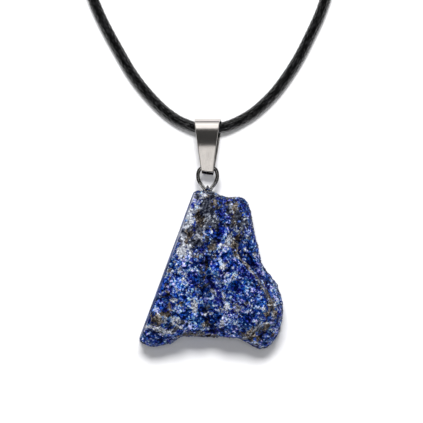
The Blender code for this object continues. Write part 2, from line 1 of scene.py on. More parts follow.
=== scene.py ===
"""A rough lapis lazuli pendant on a waxed cord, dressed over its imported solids.

Run as a script it makes the stage, the cord with its coil, the stone, the wire eye and the bail, each
with an operator of its own. Lengths are in metres. The stone lies on its sawn back on the plane z = 0,
its rough front looks up along +Z and its bail points along +Y.
"""

import math

import bmesh
import bpy
import numpy as np
from bpy.props import FloatProperty, FloatVectorProperty, IntProperty, PointerProperty
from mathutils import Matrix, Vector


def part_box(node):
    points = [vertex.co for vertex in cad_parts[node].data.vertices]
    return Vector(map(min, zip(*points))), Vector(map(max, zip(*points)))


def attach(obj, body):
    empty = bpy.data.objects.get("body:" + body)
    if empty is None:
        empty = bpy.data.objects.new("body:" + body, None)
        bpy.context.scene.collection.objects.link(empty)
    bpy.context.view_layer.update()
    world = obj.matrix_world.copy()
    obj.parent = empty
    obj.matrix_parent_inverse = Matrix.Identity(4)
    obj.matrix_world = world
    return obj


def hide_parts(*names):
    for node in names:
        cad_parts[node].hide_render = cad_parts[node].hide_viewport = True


bl_info = {
    "name": "Lapis lazuli pendant",
    "version": (1, 0, 0),
    "blender": (4, 5, 0),
    "location": "3D View > Sidebar > Pendant",
    "description": "Makes a rough lapis lazuli pendant on a waxed cord over its packed solids",
    "category": "Add Mesh",
}

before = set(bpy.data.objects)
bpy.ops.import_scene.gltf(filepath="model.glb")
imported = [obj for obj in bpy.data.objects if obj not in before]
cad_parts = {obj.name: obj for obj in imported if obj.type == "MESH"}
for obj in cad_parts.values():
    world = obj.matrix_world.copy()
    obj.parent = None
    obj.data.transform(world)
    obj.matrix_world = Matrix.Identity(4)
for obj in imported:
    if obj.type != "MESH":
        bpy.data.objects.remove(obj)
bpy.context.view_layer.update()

MM = 0.001
STONE_BODY = "stone"
NECKLACE_BODY = "necklace"

# Stone, as in the solids
STONE_CENTRE = (0.15 * MM, -9.7 * MM)
STONE_OUTLINE_MM = (
    (-5.2, 8.6), (-15.4, -18.0), (-15.0, -20.0), (-13.6, -21.2), (-11.6, -21.7), (-9.2, -21.4),
    (-7.6, -21.0), (-6.6, -20.3), (-5.6, -19.5), (0.8, -19.8), (5.4, -20.1), (6.7, -20.6),
    (8.4, -21.6), (9.8, -22.1), (11.5, -21.3), (12.9, -19.2), (13.5, -17.2), (13.9, -15.0),
    (13.5, -11.9), (12.4, -9.4), (10.7, -7.3), (9.8, -5.2), (9.0, -1.2), (8.0, 2.0),
    (7.6, 4.8), (7.2, 6.2), (6.1, 7.1), (3.9, 7.4), (1.8, 7.6), (0.3, 8.5), (-2.3, 8.6),
)
CORNER_ROUNDING = math.radians(2.2)
PROFILE_SQUARENESS = 4.6
RIM_SHARE = 0.44
FRONT_END = 0.42
BACK_START = 0.62
FRONT_HEIGHT_MM = (
    (-22.0, 9.0), (-17.0, 10.2), (-12.0, 10.7), (-6.0, 10.4), (0.0, 9.4), (4.0, 8.4), (8.5, 7.3),
)
BACK_BELOW_FLOOR = 2.6 * MM
SKIN_DEPTH = 0.35 * MM
LEDGE_MM = (
    (3.3, 9.0), (3.2, 4.0), (3.2, -0.3), (4.7, -4.0), (7.1, -6.6), (9.5, -9.2), (11.7, -12.0),
    (13.2, -14.9), (14.4, -18.0),
)
LEDGE_DROP_MM = ((-16.0, 0.2), (-12.0, 0.9), (-8.0, 1.5), (-3.0, 1.6), (1.0, 0.9), (6.0, 0.2))
LEDGE_SLOPE = 0.30
FOOT_LEDGE_MM = ((-15.0, -17.2), (-12.7, -17.7), (-9.9, -18.3), (-7.9, -18.8), (-5.6, -19.6))
FOOT_LEDGE_DROP = 0.9 * MM
CORNER_CREST_MM = ((4.6, -21.6), (6.0, -19.9), (8.2, -18.2), (10.6, -16.6), (14.6, -15.2))
CORNER_SLOPE = 0.5
VALLEY_MM = ((-3.0, -1.5), (-2.1, -5.0), (-1.4, -9.0), (-0.6, -13.5), (0.1, -19.0))
VALLEY_WIDTH = 1.5 * MM
VALLEY_DEPTH = 0.8 * MM
LUMPS_MM = (
    (-5.3, -11.4, 3.2, 4.2, 0.9),
    (6.0, -11.8, 4.4, 4.6, 1.1),
    (1.6, -4.2, 2.2, 2.6, 0.5),
    (-6.2, -3.0, 2.0, 3.0, 0.4),
    (2.8, 0.6, 1.1, 1.6, 0.5),
    (-10.2, -15.6, 2.0, 1.6, 0.4),
)
PITS_MM = (
    (-4.2, 0.2, 0.8, 1.0, 0.6),
    (4.8, -0.4, 0.7, 1.1, 0.45),
    (-1.6, 3.4, 0.7, 1.2, 0.4),
    (-1.2, -5.6, 0.8, 1.1, 0.5),
    (-8.4, -15.2, 0.9, 0.8, 0.4),
    (0.4, -9.6, 0.8, 1.4, 0.35),
)
FACET_SIZE = 2.6 * MM
FACET_SLOPE = 0.13
LUMP_NOISES = ((3.6 * MM, 0.36 * MM, 5), (1.9 * MM, 0.26 * MM, 8), (1.1 * MM, 0.13 * MM, 9))
SIDE_SAW = ((-8.5 * MM, -5.74 * MM, 0.0), (-0.9360, 0.3475, 0.0560))
BEVEL_SAW = ((-3.2 * MM, 8.0 * MM, 5.8 * MM), (-0.730, 0.490, 0.475))
BACK_SAW = ((0.0, 0.0, 0.0), (0.0, 0.0, -1.0))
SAW_CENTRE = (0.6 * MM, -8.5 * MM, 4.0 * MM)
SAW_EDGE_ROUNDING = 0.10 * MM
STONE_COLUMNS = 560
STONE_ROWS = ((0.0, 0.36, 92), (0.36, 0.50, 40), (0.50, 0.66, 26), (0.66, 1.0, 12))

# Zones of the stone's front, in millimetres: x, y, half width, half height, turn in degrees, amount
PALE_SPOTS = (
    (-3.3, 6.6, 0.8, 0.8, 0, 0.6), (-1.4, 7.4, 0.9, 0.4, 0, 0.7), (1.1, 7.2, 0.6, 0.4, 0, 0.8),
    (-3.5, 4.7, 0.8, 0.8, -30, 0.7), (-4.4, 2.4, 0.8, 1.3, -15, 0.8), (-2.7, -0.6, 0.7, 0.7, 0, 0.85),
    (-1.3, 0.9, 0.3, 0.7, 10, 1), (0.3, 0.5, 0.5, 0.6, 0, 0.35), (-5.4, -0.8, 1.1, 0.9, -20, 0.6),
    (-5.5, -3.1, 0.9, 1.1, -20, 0.85), (-4.0, -2.5, 0.9, 0.9, 0, 0.6), (3.5, -0.6, 0.4, 0.9, 0, 0.95),
    (2.8, -2.1, 0.8, 0.5, 0, 0.85), (4.7, 1.7, 0.3, 0.8, 0, 0.45), (8.3, -3.8, 0.3, 0.4, 0, 1),
    (6.2, -2.7, 0.3, 0.8, -30, 0.5), (0.3, -4.2, 0.7, 0.5, 0, 0.6), (2.4, -5.9, 0.8, 0.9, 0, 0.65),
    (3.0, -7.6, 0.3, 0.8, 0, 0.6), (-5.9, -6.3, 0.6, 0.3, 0, 0.9), (-5.1, -7.4, 0.3, 0.8, -25, 0.7),
    (4.7, -7.8, 0.6, 0.6, -30, 0.6), (0.5, -10.5, 0.6, 0.7, 0, 0.6), (2.3, -11.1, 0.4, 1.1, 0, 0.6),
    (2.8, -13.5, 0.7, 0.9, -20, 0.85), (1.9, -14.3, 0.5, 0.8, 0, 0.8), (4.7, -14.1, 1.3, 0.5, 0, 0.7),
    (6.4, -13.1, 0.7, 0.5, 0, 0.6), (7.2, -14.3, 0.6, 0.3, 0, 0.7), (-7.0, -12.3, 0.7, 0.5, -20, 0.9),
    (-3.2, -13.5, 0.6, 1.1, 0, 0.75), (-1.0, -15.0, 0.6, 0.4, 0, 0.5), (-6.3, -16.4, 1.3, 0.5, 0, 0.6),
    (2.2, -17.0, 0.5, 0.7, -30, 1), (12.5, -13.1, 0.3, 0.8, -15, 0.5), (10.4, -16.8, 0.5, 0.4, 0, 0.55),
    (9.7, -14.1, 0.5, 0.3, 0, 0.6), (11.7, -17.7, 0.5, 0.7, 0, 0.45), (-11.4, -13.0, 0.4, 0.4, 0, 0.2),
    (-12.4, -17.3, 0.6, 0.4, 0, 0.6), (-2.8, -10.1, 0.2, 0.6, -25, 0.7),
    (-3.6, -5.5, 0.5, 0.2, -30, 0.6), (-2.2, -6.5, 0.4, 0.4, 0, 0.5),
)
EARTH_SPOTS = (
    (-0.8, 7.1, 0.8, 0.4, 0, 0.95), (0.3, 5.9, 0.6, 0.9, 0, 0.75), (-2.5, 3.2, 0.6, 1.3, 0, 0.85),
    (-1.4, 3.2, 0.8, 1.1, 0, 0.5), (-4.0, -0.1, 0.7, 0.7, 0, 0.95), (-4.8, 0.5, 0.5, 0.4, 0, 0.8),
    (-4.8, -1.4, 0.8, 0.5, 0, 0.7), (2.8, 6.0, 0.4, 0.8, 0, 0.7), (4.4, 5.1, 0.5, 1.1, 0, 0.85),
    (4.3, 3.2, 0.7, 0.9, 0, 0.6), (4.9, -0.6, 0.4, 0.8, 15, 0.9), (4.3, -1.7, 0.6, 0.8, 0, 0.75),
    (4.7, -3.5, 0.6, 0.8, 0, 0.7), (-1.7, -0.4, 0.3, 0.7, 0, 0.7), (0.2, -2.7, 0.9, 0.7, 0, 0.7),
    (-2.7, -4.2, 0.6, 0.6, 0, 0.5), (-5.2, -4.6, 0.4, 0.3, 0, 0.8), (6.8, -5.9, 0.6, 0.3, -35, 0.8),
    (-8.0, -7.8, 0.4, 1.5, 0, 0.45), (-8.4, -11.1, 0.5, 1.5, 0, 0.4), (-8.2, -13.5, 0.6, 0.9, 0, 0.6),
    (-10.1, -16.0, 1.1, 0.8, 0, 0.8), (-8.6, -15.0, 0.9, 0.9, 0, 0.75), (-5.9, -13.3, 0.6, 0.5, 0, 0.6),
    (-2.7, -9.5, 0.6, 0.8, -25, 0.6), (-1.0, -5.4, 0.6, 1.1, 0, 0.75), (-1.2, -7.8, 0.4, 0.8, 0, 0.5),
    (-0.8, -16.8, 0.6, 0.9, 0, 0.55), (-4.8, -19.1, 1.7, 0.3, 0, 0.8), (-0.8, -19.2, 1.1, 0.3, 0, 0.75),
    (7.6, -19.4, 1.3, 0.8, -30, 0.85), (10.4, -17.5, 0.6, 0.7, 0, 0.7),
    (11.2, -13.3, 0.3, 0.9, -10, 0.75), (9.7, -9.7, 0.6, 0.6, 30, 0.5), (10.6, -10.9, 0.5, 0.5, 0, 0.5),
    (10.4, -15.2, 0.5, 0.7, 0, 0.6), (8.9, -19.6, 0.8, 0.9, 0, 0.45), (11.7, -19.2, 0.6, 0.6, 0, 0.4),
    (7.0, -18.3, 0.8, 0.4, 30, 0.5), (4.7, -13.1, 0.8, 0.6, 0, 0.5),
)
VIVID_SPOTS = (
    (-0.8, 6.0, 0.7, 0.6, 0, 1.2), (0.3, 0.5, 0.9, 0.8, 0, 0.8), (1.5, 2.6, 0.4, 1.7, 0, 0.5),
    (3.0, 1.1, 0.8, 0.8, 0, 0.5), (3.2, -0.4, 0.8, 0.8, 0, 0.7), (7.9, -2.1, 0.8, 0.6, 0, 0.5),
    (2.2, -4.0, 1.3, 0.6, 0, 0.5), (-6.5, -4.4, 0.9, 0.8, 0, 0.8), (0.5, -6.3, 0.7, 0.8, 0, 1),
    (-6.3, -10.1, 1.3, 1.7, 0, 1.15), (-3.6, -10.7, 0.6, 1.5, 0, 1.1), (-4.4, -13.1, 0.8, 0.8, 0, 1.1),
    (-3.1, -14.1, 0.9, 1.1, 0, 1.1), (-10.7, -13.7, 0.9, 0.8, 0, 1), (-9.2, -9.5, 0.6, 1.1, -20, 0.8),
    (-4.0, -15.8, 1.3, 0.9, 0, 0.8), (-5.5, -15.0, 0.9, 0.8, 0, 0.7), (-2.9, -17.3, 1.1, 0.6, 0, 0.8),
    (5.5, -15.4, 0.6, 0.6, 0, 0.9), (4.1, -16.9, 0.9, 0.6, 0, 0.7), (9.7, -13.3, 0.9, 0.9, 0, 0.6),
    (5.5, -9.7, 2.3, 1.3, 0, 0.35), (4.3, -11.2, 0.9, 0.8, 0, 0.6), (4.7, -7.4, 0.9, 0.8, 0, 0.6),
    (12.5, -11.2, 0.6, 0.9, -25, 0.4), (12.1, -17.7, 0.6, 0.9, 0, 0.5), (9.8, -20.0, 0.9, 0.9, 0, 0.4),
    (-12.2, -19.4, 0.9, 0.6, 0, 0.4), (4.7, -5.4, 1.1, 0.8, -35, 0.5),
)
# Dark spots: partly dark grains and matter, partly painted shade of the stone's relief, such as its middle
# valley
DARK_AND_SHADED_SPOTS = (
    (-1.6, 5.1, 0.9, 0.8, 0, 0.7), (-2.5, 3.6, 0.7, 1.3, 0, 0.7), (-4.0, -0.1, 0.7, 0.6, 0, 1),
    (0.2, -0.8, 0.9, 0.8, 0, 0.8), (5.5, -1.4, 0.8, 0.8, 0, 0.7), (6.8, 2.6, 0.9, 1.7, 0, 0.5),
    (5.1, -0.4, 0.4, 0.8, 0, 0.8), (2.8, 6.0, 0.4, 0.6, 0, 0.6), (4.5, 4.5, 0.4, 0.6, 0, 0.4),
    (8.3, -5.4, 0.9, 1.1, 0, 0.7), (9.8, -7.8, 0.8, 0.8, 0, 0.5), (-1.0, -5.4, 0.6, 0.9, 0, 1),
    (-1.2, -7.8, 0.6, 0.6, 0, 0.4), (-8.0, -7.8, 0.5, 1.5, 0, 0.7), (-9.3, -9.5, 0.6, 1.5, -20, 0.5),
    (-8.6, -11.2, 0.6, 1.5, 0, 0.55), (-2.9, -9.2, 0.6, 0.9, -20, 0.8),
    (-1.9, -11.8, 0.8, 1.3, -10, 0.5), (-0.2, -13.9, 0.9, 2.3, 0, 0.36), (-0.8, -15.6, 0.6, 0.8, 0, 0.6),
    (-5.7, -12.0, 0.6, 0.8, 0, 0.6), (5.7, -12.0, 0.9, 0.8, 0, 0.6), (8.7, -11.4, 0.9, 0.9, 0, 0.7),
    (4.7, -15.2, 0.8, 0.8, 0, 0.7), (6.6, -16.6, 1.1, 0.9, 0, 0.6), (8.3, -17.3, 1.1, 0.9, 0, 0.4),
    (1.3, -18.3, 1.1, 0.8, 0, 0.5), (3.2, -18.8, 1.5, 0.6, 0, 0.4), (-7.8, -17.5, 1.1, 0.8, -10, 0.7),
    (-8.2, -15.0, 0.6, 0.6, 0, 0.7), (10.4, -15.6, 0.6, 0.8, 0, 0.6), (-9.5, -19.8, 1.1, 0.8, 0, 0.25),
    (10.8, -20.6, 0.9, 0.8, 0, 0.3), (12.9, -14.5, 0.5, 1.1, 0, 0.4), (5.7, -9.5, 1.9, 1.5, 0, 0.55),
    (-6.7, -8.4, 0.6, 0.6, 0, 0.6), (-7.3, -5.7, 0.6, 0.8, 0, 0.6), (7.2, -3.6, 0.9, 0.9, 0, 0.6),
    (2.1, 1.5, 0.6, 0.6, 0, 0.4), (8.1, -0.2, 0.6, 0.9, 0, 0.4), (2.1, 5.7, 0.6, 0.6, 0, 0.4),
    (-10.7, -13.3, 0.8, 1.1, -20, 1.1), (-8.8, -9.0, 0.6, 0.9, -20, 0.45), (-7.3, -4.4, 0.6, 1.1, -20, 0.45),
)
# Spots where that darkening, painted shade included, is taken off again
LIGHT_SPOTS = (
    (-3.1, 7.2, 0.9, 0.8, 0, 0.4), (-5.4, -2.7, 1.1, 1.3, 0, 0.6), (-2.9, -1.2, 1.1, 0.8, 0, 0.3),
    (2.4, -6.1, 1.1, 0.9, 0, 0.4), (2.8, -13.3, 1.1, 1.1, 0, 0.3), (-2.9, -13.5, 0.8, 1.5, 0, 0.5),
    (-6.3, -9.7, 1.1, 1.5, 0, 0.2), (10.2, -10.7, 0.8, 1.5, 25, 0.3), (-5.9, -16.8, 1.5, 0.8, 0, 0.3),
    (-2.9, -18.7, 2.7, 0.6, 0, 0.3), (3.2, -1.2, 0.8, 0.9, 0, 0.4), (4.7, 1.7, 0.6, 1.5, 0, 0.3),
    (11.9, -17.5, 0.8, 1.1, 0, 0.4), (8.3, -20.2, 1.1, 0.8, 0, 0.3),
)
PALE_VEINS = (
    (((-13.8, -17.0), (-12.6, -17.5), (-10.2, -18.0), (-8.2, -18.3), (-6.9, -18.1), (-6.0, -17.6)),
     0.36, 1.1),
    (((4.9, -4.1), (7.75, -7.35), (9.65, -9.8), (11.2, -12.7)), 0.14, 0.62),
    (((5.8, -19.9), (8.0, -18.4), (9.8, -16.9)), 0.20, 0.8),
    (((-6.9, -5.4), (-5.4, -8.0), (-4.6, -10.4)), 0.25, 0.5),
    # The last vein is partly pale grains and partly painted light along the upper-left sawn bevel
    (((-8.8, -3.1), (-3.4, 7.6)), 0.30, 0.8),
)
EARTH_VEINS = (
    (((3.4, -1.2), (4.9, -4.0), (7.75, -7.3), (9.65, -9.7), (11.2, -12.6), (12.3, -15.2)), 0.26, 0.75),
    (((-6.3, -19.1), (-1.0, -19.4), (5.5, -20.1)), 0.26, 0.8),
)
GREY_SPOTS = (
    (-1.0, 4.1, 1.5, 2.7, 0, 0.95), (0.2, 2.2, 1.3, 1.5, 0, 0.7), (-2.3, 1.5, 1.1, 1.7, 0, 0.8),
    (-4.4, 4.1, 0.8, 1.5, -20, 0.8), (-4.8, 0.3, 1.3, 1.9, -15, 0.9), (3.6, 4.5, 1.1, 1.3, 0, 0.75),
    (4.7, 3.0, 0.9, 1.7, 0, 0.8), (6.0, 1.5, 0.9, 1.5, 0, 0.65), (-2.9, -1.7, 1.7, 1.1, 0, 0.9),
    (-1.2, -1.2, 0.8, 0.8, 0, 0.7), (-4.8, -2.3, 1.3, 1.1, 0, 0.7), (0.5, -2.3, 1.1, 0.9, 0, 0.8),
    (4.5, -2.5, 0.8, 1.5, 0, 0.85), (-2.1, -3.8, 1.7, 0.9, 0, 0.7), (2.1, -2.5, 1.1, 0.6, 0, 0.5),
    (-1.6, -6.1, 0.8, 1.5, 0, 0.6), (-0.6, -9.7, 0.8, 1.5, 0, 0.5), (0.7, -10.7, 0.8, 0.9, 0, 0.5),
    (-2.5, -10.7, 0.8, 1.5, 0, 0.4), (-1.0, -14.5, 0.9, 1.5, 0, 0.5), (4.7, -13.1, 1.1, 0.8, 0, 0.7),
    (2.1, -12.6, 0.9, 1.1, 0, 0.6), (-8.6, -12.2, 0.8, 2.3, 0, 0.35), (-9.7, -15.8, 1.7, 1.1, 0, 0.8),
    (-6.3, -16.8, 1.7, 0.8, 0, 0.6), (-3.1, -18.7, 3.4, 0.6, 0, 0.65), (7.6, -19.6, 1.7, 1.1, -30, 0.9),
    (9.3, -18.1, 1.5, 0.8, 0, 0.6), (10.4, -16.4, 0.8, 0.9, 0, 0.6), (10.2, -10.7, 0.9, 1.5, 25, 0.7),
    (11.7, -13.5, 0.8, 1.7, 0, 0.65), (12.1, -15.4, 0.8, 0.9, 0, 0.6),
    (-11.2, -17.9, 1.9, 0.6, 10, 0.6), (10.4, -6.9, 0.8, 0.9, 0, 0.4), (2.1, -8.2, 0.9, 1.5, 0, 0.35),
    (-0.8, -17.3, 0.9, 1.1, 0, 0.5), (6.2, -18.8, 0.8, 0.6, 0, 0.6), (-1.0, 7.0, 2.3, 0.8, 0, 0.8),
)
# Painted shade: a dark line along the foot of the right-hand ledge's drop
LEDGE_SHADE_VEINS = (
    (((5.2, -4.6), (8.1, -7.75), (10.1, -10.1), (11.7, -12.9)), 0.22, 0.3),
)
COARSE_GRAIN = 0.95
FINE_GRAIN = 0.50
SUGAR_GRAIN = 0.31
HOLLOW_BIN = 0.2 * MM
COLUMN_STRETCH = (1.0, 0.28, 0.6)
# Pale grey of the dust and painted light on the upper sawn faces
DUST_AND_LIGHT_GREY = (0.36, 0.375, 0.45)
# Colour of the painted glints, tiny specks that are partly white calcite
GLINT_SPECK = (0.66, 0.72, 0.80)
VIOLET = (0.018, -0.010, 0.016)
TEAL = (-0.002, 0.022, -0.010)
TINT_SPREAD = (0.30, 0.44, 0.24)
TINT_BASE = (0.85, 0.78, 0.88)

# Colours of the grains from the darkest to the palest, and where each begins
BLUE_STOPS = (
    (0.06, (0.0002, 0.002, 0.024)), (0.22, (0.0004, 0.006, 0.078)), (0.36, (0.0010, 0.015, 0.155)),
    (0.50, (0.006, 0.038, 0.260)), (0.64, (0.022, 0.072, 0.290)), (0.78, (0.065, 0.135, 0.410)),
    (0.90, (0.170, 0.270, 0.560)), (1.0, (0.440, 0.550, 0.800)),
)
AZURE_STOPS = (
    (0.06, (0.0002, 0.004, 0.034)), (0.24, (0.0004, 0.010, 0.140)), (0.42, (0.0015, 0.034, 0.330)),
    (0.60, (0.012, 0.095, 0.500)), (0.76, (0.070, 0.195, 0.630)), (0.90, (0.220, 0.370, 0.760)),
    (1.0, (0.500, 0.640, 0.880)),
)
GREY_STOPS = (
    (0.06, (0.001, 0.002, 0.009)), (0.22, (0.008, 0.011, 0.029)), (0.38, (0.030, 0.036, 0.058)),
    (0.56, (0.070, 0.078, 0.106)), (0.74, (0.136, 0.150, 0.196)), (0.88, (0.236, 0.260, 0.325)),
    (1.0, (0.460, 0.500, 0.600)),
)
EARTH_STOPS = (
    (0.08, (0.003, 0.002, 0.003)), (0.28, (0.024, 0.018, 0.018)), (0.46, (0.073, 0.060, 0.052)),
    (0.64, (0.150, 0.128, 0.112)), (0.82, (0.285, 0.252, 0.225)), (1.0, (0.500, 0.460, 0.415)),
)
PALE_STOPS = (
    (0.10, (0.050, 0.050, 0.066)), (0.30, (0.130, 0.138, 0.180)), (0.50, (0.240, 0.258, 0.325)),
    (0.70, (0.370, 0.390, 0.470)), (0.88, (0.520, 0.550, 0.640)), (1.0, (0.700, 0.730, 0.790)),
)

# Wire eye with its petalled cup, as in the solids
EYE_X = -0.68 * MM
HINGE_Y = 12.45 * MM
HINGE_Z = 3.6 * MM
EYE_HALF_ROUTE_MM = (
    (0.375, 2.6), (0.375, 4.4), (0.375, 6.0), (0.375, 7.5), (0.45, 8.2), (0.84, 8.85),
    (1.34, 9.5), (1.71, 10.2), (1.84, 10.9), (1.80, 11.55), (1.60, 12.1), (1.26, 12.4),
    (0.80, 12.45), (0.27, 12.45),
)
WIRE_SIDES = 24
CUP_Y = 8.38 * MM
CUP_RADIUS = 0.72 * MM
CUP_PETAL_REACH = 1.22 * MM
CUP_PETAL_RISE = 0.76 * MM
CUP_THICKNESS = 0.2 * MM
CUP_PETALS = 4
CUP_PETAL_POINT = 3.0
CUP_PETAL_CURL = 1.5
CUP_COLUMNS = 96

# Folded strip bail, as in the solids
BAIL_TOP_RADIUS = 2.05 * MM
BAIL_ARC_DISTANCE = 7.6 * MM
BAIL_WIDTH_AT_WIRE = 2.52 * MM
BAIL_WIDENING = 0.262
BAIL_TOP_X = -0.60 * MM
BAIL_ROLL = 0.11
BAIL_FRONT_SPLAY = -0.09 * MM
BAIL_BACK_SPLAY = -0.13 * MM
BAIL_FRONT_FOOT_MM = ((0.63, 0.80), (0.70, 0.68), (0.77, 0.4), (0.83, 0.1), (0.915, -0.3), (0.98, -0.6))
BAIL_BACK_FOOT_MM = ((0.36, 1.08), (0.45, 0.92), (0.60, 0.7), (0.78, 0.35), (0.90, -0.1), (0.98, -0.6))
BAIL_END_SLANT = 0.17
BAIL_END_REACH = 1.4 * MM
BAIL_FLANK_BOW = 1.6
BAIL_RINGS = 300
INSIDE_SIDE = 1.0
FLOOR_CLEARANCE = 0.02 * MM

# Cord, its coil, tie and knot, as in the solids
CORD_ROUTE_MM = (
    (-16.5, 73.2, 1.07), (-19.1, 69.8, 1.07), (-21.3, 66.2, 1.07), (-22.9, 62.4, 1.07),
    (-23.9, 58.5, 1.07), (-24.2, 54.6, 1.07), (-24.0, 50.8, 1.07), (-23.3, 47.2, 1.07),
    (-22.2, 43.9, 1.07), (-20.37, 39.86, 1.07), (-17.9, 35.3, 1.07), (-15.24, 30.74, 1.07),
    (-12.5, 27.1, 1.07), (-9.35, 23.8, 1.07), (-6.7, 21.8, 1.12), (-4.7, 20.85, 1.38),
    (-3.0, 20.3, 1.66), (-0.55, 20.02, 1.9), (1.9, 20.25, 1.66), (3.6, 20.7, 1.38),
    (5.7, 21.65, 1.12), (8.13, 23.14, 1.07), (10.9, 25.6, 1.07), (13.36, 28.46, 1.07),
    (16.4, 33.02, 1.07), (18.77, 37.58, 1.07), (20.86, 42.14, 1.07), (22.25, 46.4, 1.07),
    (23.1, 50.7, 1.07), (23.5, 55.0, 1.08), (23.3, 59.2, 1.25), (22.5, 63.2, 1.6),
    (21.2, 66.8, 2.15), (19.3, 70.0, 2.75), (16.9, 72.9, 3.15),
)
COIL_CENTRE_MM = (0.0, 66.0)
COIL_RADII_MM = (9.3, 15.2)
COIL_LAYERS_MM = (1.07, 3.15)
LOW_LAYER_ANGLES = (220.0, 1192.0)
TOP_LAYER_ANGLES = (66.0, 1040.0)
KNOT_CENTRE_MM = (0.0, 67.6, 2.87)
KNOT_HALF_LENGTH_MM = 3.9
TIE_RADII_MM = (7.65, 16.85)
TIE_HEIGHTS_MM = (0.27, 4.77)
TIE_CORNER_MM = 1.05
TIE_LIFTS_MM = (0.45, 0.30)
VISIBLE_LIMIT_Y = 46.0 * MM
CORD_SIDES = 36

# Stage
FIELD_HEIGHT = 4.6 * MM
VIEW_CENTRE = (0.06 * MM, 4.24 * MM)
SENSOR_WIDTH = 36.0
SKY_BAND = (0.20, 0.75)
BOX_PLACE = (math.radians(25.5), math.radians(-2.0), 1.0)
BOX_SIZE = (0.32, 0.24)
FILL_PLACE = (0.0, 0.0, 1.0)
FILL_SIZE = (0.3, 0.3)
PANEL_PLACE = (math.radians(43.5), 0.0, 0.5)
PANEL_SIZE = (0.13, 0.40)
CARD_PLACE = (math.radians(-1.1), 0.0, 0.3)
CARD_SIZE = (0.022, 0.113)


class StoneSettings(bpy.types.PropertyGroup):
    """Sizes and colours of the stone."""

    grain_size: FloatProperty(
        name="Grain size", description="Width of the coarse grains of the rough faces",
        default=0.00078, min=0.0002, max=0.003, precision=5, unit="LENGTH")
    grain_height: FloatProperty(
        name="Grain height", description="How far the grains stand out of the rough faces",
        default=0.00016, min=0.0, max=0.0005, precision=5, unit="LENGTH")
    lump_height: FloatProperty(
        name="Lump height", description="How far the lumps of a few grains stand out",
        default=0.0002, min=0.0, max=0.0006, precision=5, unit="LENGTH")
    column_height: FloatProperty(
        name="Column height", description="How far the upright ribs near the top stand out",
        default=0.00012, min=0.0, max=0.0006, precision=5, unit="LENGTH")
    blue: FloatVectorProperty(
        name="Blue", description="Middle colour of the deep blue grains",
        default=BLUE_STOPS[4][1], min=0.0, max=1.0, size=3, subtype="COLOR")
    azure: FloatVectorProperty(
        name="Azure", description="Middle colour of the bright blue grains",
        default=AZURE_STOPS[3][1], min=0.0, max=1.0, size=3, subtype="COLOR")
    grey: FloatVectorProperty(
        name="Grey", description="Middle colour of the grey grains",
        default=GREY_STOPS[3][1], min=0.0, max=1.0, size=3, subtype="COLOR")
    earth: FloatVectorProperty(
        name="Brown", description="Middle colour of the brown matter between the grains",
        default=EARTH_STOPS[3][1], min=0.0, max=1.0, size=3, subtype="COLOR")
    pale: FloatVectorProperty(
        name="Pale", description="Middle colour of the white and grey-white grains",
        default=PALE_STOPS[3][1], min=0.0, max=1.0, size=3, subtype="COLOR")
    lightness: FloatProperty(
        name="Lightness", description="Moves all grains towards the pale end of their colours",
        default=0.0, min=-1.0, max=1.0)
    shine: FloatProperty(
        name="Shine", description="Strength of the gloss on the grains",
        default=0.05, min=0.0, max=1.0)


class MetalSettings(bpy.types.PropertyGroup):
    """Sizes and colours of the wire eye and the bail."""

    wire_diameter: FloatProperty(
        name="Wire diameter", description="Thickness of the eye's wire",
        default=0.0007, min=0.0003, max=0.0015, precision=5, unit="LENGTH")
    strip_thickness: FloatProperty(
        name="Strip thickness", description="Thickness of the bail's strip",
        default=0.0004, min=0.0002, max=0.0008, precision=5, unit="LENGTH")
    edge_rounding: FloatProperty(
        name="Edge rounding", description="Radius of the strip's rounded edges",
        default=0.00009, min=0.00002, max=0.00018, precision=6, unit="LENGTH")
    steel: FloatVectorProperty(
        name="Steel", description="Colour of the bail",
        default=(0.745, 0.70, 0.665), min=0.0, max=1.0, size=3, subtype="COLOR")
    # Painted highlight: the wire's colour on its upward-facing side and near its neck
    wire: FloatVectorProperty(
        name="Wire", description="Colour of the eye's wire where it is worn bright",
        default=(0.80, 0.79, 0.77), min=0.0, max=1.0, size=3, subtype="COLOR")
    # Painted shade: the wire's colour on its sides and underside, standing in for dark reflections
    shaded_wire: FloatVectorProperty(
        name="Shaded", description="Colour of the eye's wire where it is dark",
        default=(0.030, 0.027, 0.027), min=0.0, max=1.0, size=3, subtype="COLOR")


class CordSettings(bpy.types.PropertyGroup):
    """Sizes and colours of the cord, its tie and its knot."""

    diameter: FloatProperty(
        name="Diameter", description="Thickness of the cord over its wax",
        default=0.0021, min=0.001, max=0.004, precision=5, unit="LENGTH")
    length: FloatProperty(
        name="Length", description="Length of the closed cord from knot to knot",
        default=0.61, min=0.3, max=1.0, precision=3, unit="LENGTH")
    strands: IntProperty(
        name="Strands", description="Strands of the braid that turn each way",
        default=6, min=3, max=12)
    braid_pitch: FloatProperty(
        name="Braid pitch", description="Length in which a strand turns once round the cord",
        default=0.0072, min=0.003, max=0.02, precision=4, unit="LENGTH")
    thread_diameter: FloatProperty(
        name="Thread diameter", description="Thickness of the thread that ties the coil",
        default=0.0005, min=0.0002, max=0.001, precision=5, unit="LENGTH")
    black: FloatVectorProperty(
        name="Black", description="Colour of the waxed cotton",
        default=(0.0006, 0.0006, 0.0007), min=0.0, max=1.0, size=3, subtype="COLOR")


